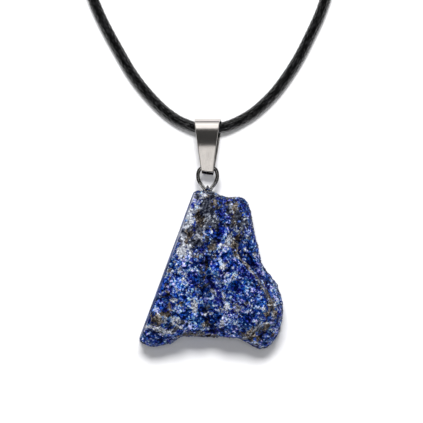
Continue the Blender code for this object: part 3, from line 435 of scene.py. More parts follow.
class StageSettings(bpy.types.PropertyGroup):
    """Camera, floor and lights."""

    camera_distance: FloatProperty(
        name="Camera distance", description="Height of the camera over the stone's rim",
        default=0.75, min=0.2, max=3.0, unit="LENGTH")
    field_width: FloatProperty(
        name="Field width", description="Width that the camera sees at the stone's rim",
        default=0.08037, min=0.02, max=1.0, precision=5, unit="LENGTH")
    floor: FloatVectorProperty(
        name="Floor", description="Colour of the floor",
        default=(0.92, 0.92, 0.93), min=0.0, max=1.0, size=3, subtype="COLOR")
    sky_top: FloatProperty(
        name="Sky above", description="Strength of the room's light from above",
        default=0.054, min=0.0, max=5.0)
    sky_rim: FloatProperty(
        name="Sky around", description="Strength of the room's light from all sides",
        default=0.85, min=0.0, max=5.0)
    box: FloatProperty(
        name="Soft box", description="Power of the light that makes the soft shadow",
        default=10.0, min=0.0, max=100.0, unit="POWER")
    fill: FloatProperty(
        name="Fill", description="Power of the light straight above that softens the shadow",
        default=1.7, min=0.0, max=100.0, unit="POWER")
    panel: FloatProperty(
        name="Panel", description="Power of the tall light that shines in the bail's top bend",
        default=0.225, min=0.0, max=100.0, unit="POWER")
    card: FloatProperty(
        name="Card", description="Power of the small light that only shines in metal and wax",
        default=0.0079, min=0.0, max=10.0, unit="POWER")


class Link:
    """A node's output socket, whose arithmetic adds the nodes that it needs."""

    def __init__(self, board, socket):
        self.board = board
        self.socket = socket

    def out(self, name):
        return Link(self.board, self.socket.node.outputs[name])

    def combine(self, operation, first, second):
        wide = any(isinstance(part, tuple)
                   or isinstance(part, Link) and part.socket.type in ("VECTOR", "RGBA")
                   for part in (first, second))
        if not wide:
            return self.board.add("ShaderNodeMath", {"operation": operation}, {0: first, 1: second})
        parts = [part if isinstance(part, Link) or isinstance(part, tuple) else (part,) * 3
                 for part in (first, second)]
        return self.board.add("ShaderNodeVectorMath", {"operation": operation},
                              {0: parts[0], 1: parts[1]})

    def __add__(self, other):
        return self.combine("ADD", self, other)

    def __radd__(self, other):
        return self.combine("ADD", other, self)

    def __sub__(self, other):
        return self.combine("SUBTRACT", self, other)

    def __rsub__(self, other):
        return self.combine("SUBTRACT", other, self)

    def __mul__(self, other):
        return self.combine("MULTIPLY", self, other)

    def __rmul__(self, other):
        return self.combine("MULTIPLY", other, self)

    def __truediv__(self, other):
        return self.combine("DIVIDE", self, other)

    def __pow__(self, other):
        return self.combine("POWER", self, other)


class Board:
    """The nodes of one material."""

    def __init__(self, name, tree=None):
        if tree is None:
            self.material = bpy.data.materials.new(name)
            self.material.use_nodes = True
            tree = self.material.node_tree
        self.tree = tree
        self.tree.nodes.clear()

    def add(self, kind, settings=None, values=None, output=0):
        """Adds a node, sets its settings first and then the values or links of its sockets."""
        node = self.tree.nodes.new(kind)
        for name, value in (settings or {}).items():
            if name == "stops":
                self.set_stops(node.color_ramp, value)
            else:
                setattr(node, name, value)
        for name, value in (values or {}).items():
            if isinstance(value, Link):
                self.tree.links.new(value.socket, node.inputs[name])
            else:
                node.inputs[name].default_value = value
        return Link(self, node.outputs[output]) if node.outputs else node

    @staticmethod
    def set_stops(ramp, stops):
        while len(ramp.elements) < len(stops):
            ramp.elements.new(1.0)
        for element, (place, colour) in zip(ramp.elements, stops):
            element.position = place
            element.color = (*colour, 1.0)

    def place(self):
        """Place on the piece in millimetres."""
        return self.add("ShaderNodeTexCoord", output="Object") * 1000.0

    def surface(self):
        return self.add("ShaderNodeTexCoord", output="UV")

    def painted(self, name):
        return self.add("ShaderNodeAttribute", {"attribute_name": name}, output="Fac")

    def noise(self, place, scale, detail=2.0, roughness=0.5):
        return self.add("ShaderNodeTexNoise", None,
                        {"Vector": place, "Scale": scale, "Detail": detail, "Roughness": roughness})

    def cells(self, place, scale, feature="F1"):
        return self.add("ShaderNodeTexVoronoi", {"feature": feature},
                        {"Vector": place, "Scale": scale})

    def parts(self, vector):
        split = self.add("ShaderNodeSeparateXYZ", None, {"Vector": vector})
        return split.out("X"), split.out("Y"), split.out("Z")

    def step(self, value, low, high):
        return self.add("ShaderNodeMapRange", {"interpolation_type": "SMOOTHSTEP"},
                        {"Value": value, "From Min": low, "From Max": high}, "Result")

    def ramp(self, value, stops):
        return self.add("ShaderNodeValToRGB", {"stops": stops}, {"Fac": value}, "Color")

    def mix(self, share, first, second):
        values = {0: share, 6: first, 7: second}
        values = {key: (*value, 1.0) if isinstance(value, tuple) and len(value) == 3 else value
                  for key, value in values.items()}
        return self.add("ShaderNodeMix", {"data_type": "RGBA"}, values, 2)

    def bump(self, height, distance, strength=1.0):
        return self.add("ShaderNodeBump", None,
                        {"Height": height, "Distance": distance, "Strength": strength}, "Normal")

    def finish(self, **values):
        """Adds the surface shader and returns the material. Spaces in socket names are underscores."""
        shader = self.add("ShaderNodeBsdfPrincipled", None,
                          {name.replace("_", " "): value for name, value in values.items()})
        self.add("ShaderNodeOutputMaterial", None, {"Surface": shader})
        return self.material


def hash_values(cells, seed):
    """A repeatable number from 0 to 1 for each whole-number cell."""
    keys = cells.astype(np.int64)
    mixed = keys[..., 0] * 73856093 + keys[..., 1] * 19349663 + keys[..., 2] * 83492791
    mixed = (mixed + seed * 2654435) & 0xFFFFFFFF
    mixed = ((mixed ^ (mixed >> 15)) * 2246822519) & 0xFFFFFFFF
    mixed = ((mixed ^ (mixed >> 13)) * 3266489917) & 0xFFFFFFFF
    return ((mixed ^ (mixed >> 16)) & 0xFFFFFF) / float(0xFFFFFF)


def smooth_noise(points, size, seed):
    """Noise from -1 to 1: random values at the corners of cubes, blended smoothly between them."""
    scaled = points / size
    base = np.floor(scaled)
    part = scaled - base
    blend = part * part * (3.0 - 2.0 * part)
    total = np.zeros(points.shape[:-1])
    for corner in np.ndindex(2, 2, 2):
        offset = np.array(corner)
        share = np.prod(np.where(offset == 1, blend, 1.0 - blend), axis=-1)
        total += share * hash_values(base + offset, seed)
    return 2.0 * total - 1.0


def nearest_cells(points, size, seed):
    """The nearest scattered centre of each point: offset from it, distance and cell, in units of size."""
    scaled = points / size
    base = np.floor(scaled)
    nearest = np.full(points.shape[:-1], 9.0)
    offsets = np.zeros(points.shape)
    owner = np.zeros(points.shape)
    for step in np.ndindex(3, 3, 3):
        cell = base + (np.array(step) - 1)
        jitter = np.stack([hash_values(cell, seed + axis) for axis in range(3)], axis=-1)
        offset = scaled - (cell + jitter)
        distance = np.sum(offset * offset, axis=-1)
        closer = distance < nearest
        nearest = np.where(closer, distance, nearest)
        offsets = np.where(closer[..., None], offset, offsets)
        owner = np.where(closer[..., None], cell, owner)
    return offsets, np.sqrt(nearest), owner


def facet_noise(points, size, seed):
    """Flat facets: each point takes the slope of its nearest scattered centre, in units of size."""
    offsets, _, owner = nearest_cells(points, size, seed)
    slope = np.stack([hash_values(owner, seed + 3 + axis) - 0.5 for axis in range(3)], axis=-1)
    return 2.0 * np.sum(offsets * slope, axis=-1)


def grain_height(points, size, seed):
    """Grains from -1 to 1: each is a dome over its centre, set higher or lower and tilted at random."""
    offsets, distance, owner = nearest_cells(points, size, seed)
    tilt = np.stack([hash_values(owner, seed + 3 + axis) - 0.5 for axis in range(3)], axis=-1)
    level = 2.0 * hash_values(owner, seed + 7) - 1.0
    dome = 1.0 - 2.2 * distance * distance
    return 0.5 * level + 0.5 * dome + 1.3 * np.sum(offsets * tilt, axis=-1)


def smooth_step(values, low, high):
    share = np.clip((values - low) / (high - low), 0.0, 1.0)
    return share * share * (3.0 - 2.0 * share)


def distance_to_route(x, y, route_mm):
    """Distance to a broken line, positive on the right-hand side of its direction."""
    best = np.full(x.shape, 1.0)
    signed = np.zeros(x.shape)
    route = np.array(route_mm) * MM
    for start, end in zip(route[:-1], route[1:]):
        along = end - start
        from_start = (x - start[0], y - start[1])
        share = (from_start[0] * along[0] + from_start[1] * along[1]) / float(along @ along)
        share = np.clip(share, 0.0, 1.0)
        away_x = from_start[0] - share * along[0]
        away_y = from_start[1] - share * along[1]
        distance = np.hypot(away_x, away_y)
        side = np.where(away_x * along[1] - away_y * along[0] >= 0.0, 1.0, -1.0)
        closer = distance < best
        best = np.where(closer, distance, best)
        signed = np.where(closer, side * distance, signed)
    return signed


def outline_radius(angle):
    """Distance from the stone's middle to its outline, with the corners averaged round."""
    corners = np.array(STONE_OUTLINE_MM) * MM - np.array(STONE_CENTRE)
    corner_angles = np.arctan2(corners[:, 1], corners[:, 0])
    order = np.argsort(corner_angles)
    corners = corners[order]
    corner_angles = corner_angles[order]
    total = np.zeros(angle.shape)
    shares = (0.08, 0.24, 0.36, 0.24, 0.08)
    for step, share in zip((-1.0, -0.5, 0.0, 0.5, 1.0), shares):
        turned = (angle + step * CORNER_ROUNDING + math.pi) % (2.0 * math.pi) - math.pi
        first = (np.searchsorted(corner_angles, turned) - 1) % len(corners)
        start = corners[first]
        along = corners[(first + 1) % len(corners)] - start
        across = start[..., 0] * along[..., 1] - start[..., 1] * along[..., 0]
        facing = np.cos(turned) * along[..., 1] - np.sin(turned) * along[..., 0]
        total += share * across / facing
    return total


def front_height(x, y):
    """Height of the rough front over the floor: a wedge with its ledges, valley, lumps and pits."""
    places, heights = np.array(FRONT_HEIGHT_MM).T * MM
    height = np.interp(y, places, heights)

    beyond_ledge = distance_to_route(x, y, LEDGE_MM) * -1.0
    places, drops = np.array(LEDGE_DROP_MM).T * MM
    drop = np.interp(y, places, drops)
    height -= drop * smooth_step(beyond_ledge, -0.5 * MM, 1.3 * MM)
    height -= LEDGE_SLOPE * np.clip(beyond_ledge, 0.0, None) * smooth_step(-y, -8.0 * MM, 2.0 * MM)

    below_foot_ledge = distance_to_route(x, y, FOOT_LEDGE_MM)
    near_foot = smooth_step(-x, 5.2 * MM, 6.8 * MM)
    height -= FOOT_LEDGE_DROP * near_foot * smooth_step(below_foot_ledge, -0.1 * MM, 1.1 * MM)

    beyond_crest = distance_to_route(x, y, CORNER_CREST_MM)
    height -= CORNER_SLOPE * np.clip(beyond_crest, 0.0, None)

    valley = distance_to_route(x, y, VALLEY_MM) / VALLEY_WIDTH
    height -= VALLEY_DEPTH * np.exp(-valley * valley)

    for forms, sign in ((LUMPS_MM, 1.0), (PITS_MM, -1.0)):
        for centre_x, centre_y, radius_x, radius_y, size in forms:
            across = (x / MM - centre_x) / radius_x
            along = (y / MM - centre_y) / radius_y
            height += sign * size * MM * np.exp(-(across * across + along * along))
    return height


def stone_points(angle, share):
    """Points of the stone's skin for an angle round it and a share from front middle to back.

    The share runs evenly over the front, the side and the back of a box. The direction to that place
    is read on a superellipse, which rounds the box's edges, and stretched to the stone's outline,
    front height and back. Noise then moves each point out or in.
    """
    front = np.arctan2(share, FRONT_END)
    side_share = (share - FRONT_END) / (BACK_START - FRONT_END)
    side = np.arctan2(1.0, 1.0 - 2.0 * side_share)
    back = math.pi - np.arctan2(1.0 - share, 1.0 - BACK_START)
    tilt = np.where(share < FRONT_END, front, np.where(share < BACK_START, side, back))
    outward = np.sin(tilt)
    upward = np.cos(tilt)
    power = PROFILE_SQUARENESS
    reach = (np.abs(outward) ** power + np.abs(upward) ** power) ** (-1.0 / power)

    radius = outline_radius(angle)
    spread = outward * reach * radius
    x = STONE_CENTRE[0] + spread * np.cos(angle)
    y = STONE_CENTRE[1] + spread * np.sin(angle)
    top = front_height(x, y)
    rim = RIM_SHARE * top
    above = rim + upward * reach * (top - rim)
    below = rim + upward * reach * (rim + BACK_BELOW_FLOOR)
    z = np.where(upward > 0.0, above, below)

    points = np.stack((x, y, z), axis=-1)
    push = FACET_SIZE * FACET_SLOPE * facet_noise(points, FACET_SIZE, 11) - SKIN_DEPTH
    for size, height, seed in LUMP_NOISES:
        push += height * smooth_noise(points, size, seed)
    direction = np.stack((outward * np.cos(angle), outward * np.sin(angle), upward), axis=-1)
    return points + push[..., None] * direction


def saw(points, plane):
    """Draws points beyond a plane back to it, towards the stone's middle, with a slightly round edge.

    A point's depth is its distance from the middle along the plane's direction. Where it is more than
    the plane's, the point is scaled down to it. Returns the points and a share that is 1 on the cut.
    """
    place, facing = (np.array(part) for part in plane)
    facing = facing / np.linalg.norm(facing)
    centre = np.array(SAW_CENTRE)
    limit = float((place - centre) @ facing)
    depth = (points - centre) @ facing
    over = (depth - limit) / SAW_EDGE_ROUNDING
    kept = depth - SAW_EDGE_ROUNDING * np.logaddexp(0.0, over)
    scale = np.where(depth > 0.0, kept / np.maximum(depth, 1e-9), 1.0)
    return centre + (points - centre) * scale[..., None], smooth_step(over, -0.5, 2.5)


def grid_normals(points):
    """Outward directions of a grid of points that is closed along its second axis."""
    along = np.gradient(points, axis=0)
    around = np.roll(points, -1, axis=1) - np.roll(points, 1, axis=1)
    normal = np.cross(around, along)
    normal /= np.maximum(np.linalg.norm(normal, axis=-1, keepdims=True), 1e-12)
    middle = points.reshape(-1, 3).mean(axis=0)
    if np.sum(normal * (points - middle)) < 0.0:
        normal = -normal
    return normal


def spot_share(x, y, spots):
    """How strongly a point lies in any of the spots: the largest of their turned bell curves."""
    best = np.zeros(x.shape)
    for spot_x, spot_y, half_width, half_height, turn, amount in spots:
        cosine, sine = math.cos(math.radians(turn)), math.sin(math.radians(turn))
        dx, dy = x / MM - spot_x, y / MM - spot_y
        across = (dx * cosine + dy * sine) / half_width
        along = (dy * cosine - dx * sine) / half_height
        best = np.maximum(best, amount * np.exp(-0.7 * (across * across + along * along)))
    return best


def vein_share(x, y, veins):
    best = np.zeros(x.shape)
    for route, width, amount in veins:
        distance = distance_to_route(x, y, route) / (width * MM)
        best = np.maximum(best, amount * np.exp(-distance * distance))
    return best


def make_surface(name, rows, caps=(None, None), along=None, paints=None):
    """An object from rows of points: a grid that closes round each row and ends in a fan or not.

    rows has the shape rows x columns x 3. Each cap is the point in the middle of a fan that closes
    the first or last row. The surface's own map has the share round a row and the place along it.
    paints are named values for each point of the grid, with the caps' values last.
    """
    count, sides = rows.shape[:2]
    along = np.arange(count) / max(count - 1, 1) if along is None else np.asarray(along)
    row, column = np.meshgrid(np.arange(count - 1), np.arange(sides), indexing="ij")
    beside = (column + 1) % sides
    corners = np.stack((row * sides + column, row * sides + beside,
                        (row + 1) * sides + beside, (row + 1) * sides + column), axis=-1)
    maps = np.stack((column, column + 1, column + 1, column), axis=-1) / sides
    maps = np.stack((maps, along[np.stack((row, row, row + 1, row + 1), axis=-1)]), axis=-1)
    corners, maps = corners.reshape(-1, 4), maps.reshape(-1, 4, 2)

    points = rows.reshape(-1, 3)
    fans, fan_maps = [], []
    column = np.arange(sides)
    for cap, start, flip in ((caps[0], 0, True), (caps[1], (count - 1) * sides, False)):
        if cap is None:
            continue
        points = np.vstack((points, np.asarray(cap, dtype=float)[None]))
        middle = np.full(sides, len(points) - 1)
        fan = np.stack((start + column, start + (column + 1) % sides, middle), axis=-1)
        edge = along[start // sides]
        fan_map = np.stack((np.stack((column, column + 1, column + 0.5), axis=-1) / sides,
                            np.full((sides, 3), edge)), axis=-1)
        fans.append(fan[:, ::-1] if flip else fan)
        fan_maps.append(fan_map[:, ::-1] if flip else fan_map)
    fans = np.vstack(fans) if fans else np.zeros((0, 3), dtype=int)
    fan_maps = np.vstack(fan_maps) if fan_maps else np.zeros((0, 3, 2))

    halves = np.vstack((corners[:, :3], corners[:, [0, 2, 3]], fans))
    a, b, c = (points[halves[:, index]] for index in range(3))
    if np.sum(a * np.cross(b, c)) < 0.0:
        corners, maps = corners[:, ::-1], maps[:, ::-1]
        fans, fan_maps = fans[:, ::-1], fan_maps[:, ::-1]

    mesh = bpy.data.meshes.new(name)
    mesh.vertices.add(len(points))
    mesh.vertices.foreach_set("co", points.astype(np.float32).ravel())
    loops = np.concatenate((corners.ravel(), fans.ravel())).astype(np.int32)
    mesh.loops.add(len(loops))
    mesh.loops.foreach_set("vertex_index", loops)
    starts = np.concatenate((4 * np.arange(len(corners)), 4 * len(corners) + 3 * np.arange(len(fans))))
    mesh.polygons.add(len(starts))
    mesh.polygons.foreach_set("loop_start", starts.astype(np.int32))
    mesh.polygons.foreach_set("use_smooth", np.ones(len(starts), dtype=bool))
    mesh.update(calc_edges=True)
    layer = mesh.uv_layers.new(name="surface")
    layer.data.foreach_set("uv", np.concatenate((maps.ravel(), fan_maps.ravel())).astype(np.float32))
    for paint, values in (paints or {}).items():
        mesh.attributes.new(paint, "FLOAT", "POINT").data.foreach_set(
            "value", np.asarray(values, dtype=np.float32).ravel())
    mesh.validate()
    piece = bpy.data.objects.new(name, mesh)
    bpy.context.scene.collection.objects.link(piece)
    return piece


def smooth_route(route, spacing):
    """Points along a smooth curve through the route, by the Catmull-Rom formula, about spacing apart.

    spacing is a length, or a function that gives it for points of the curve.
    """
    route = np.array(route, dtype=float)
    first = 2.0 * route[0] - route[1]
    last = 2.0 * route[-1] - route[-2]
    padded = np.vstack((first, route, last))
    steps = np.linspace(0.0, 1.0, 24, endpoint=False)[:, None]
    fine = []
    for before, start, end, after in zip(padded[:-3], padded[1:-2], padded[2:-1], padded[3:]):
        fine.append(0.5 * (2.0 * start + (end - before) * steps
                           + (2.0 * before - 5.0 * start + 4.0 * end - after) * steps ** 2
                           + (3.0 * start - before - 3.0 * end + after) * steps ** 3))
    fine = np.vstack(fine + [route[-1:]])
    steps = np.linalg.norm(np.diff(fine, axis=0), axis=1)
    wide = spacing(fine) if callable(spacing) else np.full(len(fine), spacing)
    weight = np.concatenate(([0.0], np.cumsum(steps * 2.0 / (wide[1:] + wide[:-1]))))
    wanted = np.linspace(0.0, weight[-1], max(2, int(round(weight[-1])) + 1))
    return np.stack([np.interp(wanted, weight, fine[:, axis]) for axis in range(3)], axis=-1)


def path_lengths(path):
    return np.concatenate(([0.0], np.cumsum(np.linalg.norm(np.diff(path, axis=0), axis=1))))


def tube_rows(path, radius, sides, reference):
    """Rings round a path: radius times cosine and sine of the angle along two directions across it.

    radius is a length or an array of rings x sides. reference is a direction that the path is never
    parallel to, from which the first direction across is turned.
    """
    tangent = np.gradient(path, axis=0)
    tangent /= np.linalg.norm(tangent, axis=1, keepdims=True)
    across = np.cross(tangent, np.array(reference, dtype=float))
    across /= np.linalg.norm(across, axis=1, keepdims=True)
    above = np.cross(across, tangent)
    angle = 2.0 * math.pi * np.arange(sides) / sides
    reach = np.broadcast_to(np.asarray(radius, dtype=float), (len(path), sides))
    return (path[:, None] + (reach * np.cos(angle))[..., None] * across[:, None]
            + (reach * np.sin(angle))[..., None] * above[:, None])


def braid_relief(around, along, strands, pitch):
    """Relief of a round braid from 0 to 1, for the share round the cord and the length along it.

    Two families of strands turn opposite ways: a strand's crown is the cosine of its phase. Where
    they cross, the product of both cosines tells which family lies on top.
    """
    turned = strands * along / pitch
    right = np.cos(math.pi * (strands * around + turned))
    left = np.cos(math.pi * (strands * around - turned))
    on_top = np.clip(1.6 * right * left, -1.0, 1.0)
    return np.maximum(np.abs(right) * (0.6 + 0.4 * on_top), np.abs(left) * (0.6 - 0.4 * on_top))


def coil_arc(angles, radii, height, lift):
    """Points of a spiral layer of the coil, lifted over the tie at its near side."""
    degrees = np.arange(angles[0], angles[1] + 1.0, 9.0)
    share = (degrees - angles[0]) / (angles[1] - angles[0])
    radius = radii[0] + (radii[1] - radii[0]) * share
    turn = np.radians(degrees)
    from_tie = (degrees - 270.0 + 180.0) % 360.0 - 180.0
    z = height + lift * smooth_step(-np.abs(from_tie), -24.0, -9.0)
    return np.stack((COIL_CENTRE_MM[0] + radius * np.cos(turn),
                     COIL_CENTRE_MM[1] + radius * np.sin(turn), z), axis=-1)


def cord_path():
    """The cord's middle line: out of the knot, out through the low layer, down to the bail and back.

    It leaves the knot at its left end, winds outwards in the low layer, runs through the bail, climbs
    on to the coil, winds inwards in the top layer and comes back to the knot at its right end.
    """
    x, y, z = KNOT_CENTRE_MM
    low = coil_arc(LOW_LAYER_ANGLES, COIL_RADII_MM, COIL_LAYERS_MM[0], TIE_LIFTS_MM[0])
    top = coil_arc(TOP_LAYER_ANGLES, COIL_RADII_MM[::-1], COIL_LAYERS_MM[1], TIE_LIFTS_MM[1])
    leaving = np.array([(x - 0.05, y, z), (x - 2.0, y, z), (x - KNOT_HALF_LENGTH_MM, y, z - 0.05),
                        (x - 6.3, y - 0.75, 2.45), (x - 8.05, y - 2.75, 1.8),
                        (x - 8.35, y - 5.2, 1.3)])
    arriving = np.array([(x + 8.35, y - 5.2, 3.1), (x + 8.05, y - 2.75, 3.05),
                         (x + 6.3, y - 0.75, 2.95), (x + KNOT_HALF_LENGTH_MM, y, z),
                         (x + 2.0, y, z), (x + 0.05, y, z)])
    route = np.vstack((leaving, low, np.array(CORD_ROUTE_MM), top, arriving)) * MM
    return smooth_route(route, lambda points: np.where(points[:, 1] < VISIBLE_LIMIT_Y,
                                                       0.13 * MM, 0.29 * MM))


def braided_tube(name, path, diameter, sides, reference, settings, relief=0.022):
    """A braided cord: rings whose radius follows the braid's relief, closed by a fan at each end."""
    along = path_lengths(path)
    around = np.arange(sides) / sides
    height = braid_relief(around[None], along[:, None], settings.strands, settings.braid_pitch)
    radius = 0.5 * diameter * (1.0 - relief * 2.0 * (1.0 - height))
    rows = tube_rows(path, radius, sides, reference)
    return make_surface(name, rows, (path[0], path[-1]), along)


def waxed_cotton(name, settings):
    """Black braided cotton under wax: strands from the cord's own map, fibres along them, wax gloss."""
    board = Board(name)
    around, along, _ = board.parts(board.surface())
    phase = settings.strands * math.pi
    turn = along * (settings.strands * math.pi / settings.braid_pitch)
    right = board.add("ShaderNodeMath", {"operation": "COSINE"}, {0: around * phase + turn})
    left = board.add("ShaderNodeMath", {"operation": "COSINE"}, {0: around * phase - turn})
    on_top = board.step(right * left, -0.45, 0.45)
    absolute = {"operation": "ABSOLUTE"}
    right_crown = board.add("ShaderNodeMath", absolute, {0: right})
    left_crown = board.add("ShaderNodeMath", absolute, {0: left})
    crown = on_top * right_crown + (1.0 - on_top) * left_crown
    place = board.place()
    round_x = board.add("ShaderNodeMath", {"operation": "COSINE"}, {0: around * math.tau})
    round_y = board.add("ShaderNodeMath", {"operation": "SINE"}, {0: around * math.tau})
    fibre_place = board.add("ShaderNodeCombineXYZ", None,
                            {"X": round_x * 3.2, "Y": round_y * 3.2, "Z": along * 900.0})
    fibres = board.noise(fibre_place, 1.0, 1.0, 0.3)
    blotches = board.noise(place, 0.9, 2.0)
    groove = board.step(crown, 0.05, 0.55)
    black = tuple(settings.black)
    # Pale fibres on the strand crowns: painted highlight streaks, partly worn wax
    highlight = tuple(16.0 * part for part in settings.black)
    colour = board.mix(groove * board.step(fibres, 0.52, 0.66), black, highlight)
    gloss = 0.15 - 0.06 * blotches - 0.02 * groove + 0.10 * fibres
    bump = board.bump(crown * 0.02 + fibres * 0.26, 0.001, 1.0)
    return board.finish(Base_Color=colour, Roughness=gloss, Normal=bump, Specular_IOR_Level=0.5)


def build_cord(settings):
    path = cord_path()
    cord = braided_tube("cord_braid", path, settings.diameter, CORD_SIDES, (0.0, 0.0, 1.0), settings)
    cord.data.materials.append(waxed_cotton("black waxed cotton", settings))
    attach(cord, NECKLACE_BODY)
    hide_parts("cord", "cord_coil")

    tie = build_tie(settings)
    knot = build_knot(settings, cord.data.materials[0])


def rounded_loop(radii, heights, corner, steps):
    """Points of a rectangle with round corners, as distance from the coil's middle and height."""
    points = []
    for radius, height, start in ((radii[1] - corner, heights[1] - corner, 90.0),
                                  (radii[1] - corner, heights[0] + corner, 0.0),
                                  (radii[0] + corner, heights[0] + corner, -90.0),
                                  (radii[0] + corner, heights[1] - corner, -180.0)):
        turn = np.radians(np.linspace(start, start - 90.0, steps + 1))
        points.append(np.stack((radius + corner * np.cos(turn), height + corner * np.sin(turn)), axis=-1))
    return np.vstack(points)


def build_tie(settings):
    """Thread wound three times round the turns of the coil: a rounded loop that shifts sideways."""
    loop = rounded_loop(TIE_RADII_MM, TIE_HEIGHTS_MM, TIE_CORNER_MM, 5)
    loop = np.roll(loop, 7, axis=0)
    winds = np.vstack([loop] * 3 + [loop[:1]])
    side = np.linspace(-0.54, 0.54, len(winds))
    route = np.stack((COIL_CENTRE_MM[0] + side, COIL_CENTRE_MM[1] - winds[:, 0], winds[:, 1]), axis=-1)
    path = smooth_route(route * MM, 0.12 * MM)
    along = path_lengths(path)
    angle = 2.0 * math.pi * np.arange(14)[None] / 14
    ply = np.cos(3.0 * (angle + 2.0 * math.pi * along[:, None] / (1.5 * MM)))
    radius = 0.5 * settings.thread_diameter * (0.95 + 0.05 * ply)
    rows = tube_rows(path, radius, 14, (1.0, 0.0, 0.0))
    tie = make_surface("tie_thread", rows, (path[0], path[-1]), along)

    board = Board("black thread")
    twist = board.noise(board.place(), 12.0, 3.0, 0.6)
    black = tuple(4.0 * part for part in settings.black)
    grey = tuple(9.0 * part for part in settings.black)
    tie.data.materials.append(board.finish(
        Base_Color=board.mix(twist, black, grey), Roughness=0.55 + 0.2 * twist,
        Normal=board.bump(twist * 0.03, 0.001)))
    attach(tie, NECKLACE_BODY)
    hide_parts("coil_tie")
    return tie


def build_knot(settings, material):
    """Four wraps of the cord's end round itself: a helix round the X axis that turns in at its ends."""
    turn = np.radians(np.arange(-110.0, 4.0 * 360.0 + 111.0, 10.0))
    share = np.clip(turn / (8.0 * math.pi), 0.0, 1.0)
    beyond = np.abs(turn / (2.0 * math.pi) - 4.0 * share)
    reach = 1.88 - 1.1 * smooth_step(beyond, 0.0, 0.3)
    wraps = 1.93 * 4.0
    x, y, z = KNOT_CENTRE_MM
    route = np.stack((x + (share - 0.5) * (wraps - 1.9), y + reach * np.cos(turn),
                      z + reach * np.sin(turn)), axis=-1)
    path = smooth_route(route * MM, 0.2 * MM)
    knot = braided_tube("knot_wraps", path, 1.88 * MM, 24, (1.0, 0.0, 0.0), settings)
    knot.data.materials.append(material)
    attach(knot, NECKLACE_BODY)
    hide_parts("closing_knot")
    return knot


def tinted(stops, wanted):
    """Colour stops scaled so that the middle one has the wanted colour."""
    middle = stops[len(stops) // 2][1]
    return [(place, tuple(part * new / old for part, new, old in zip(colour, wanted, middle)))
            for place, colour in stops]


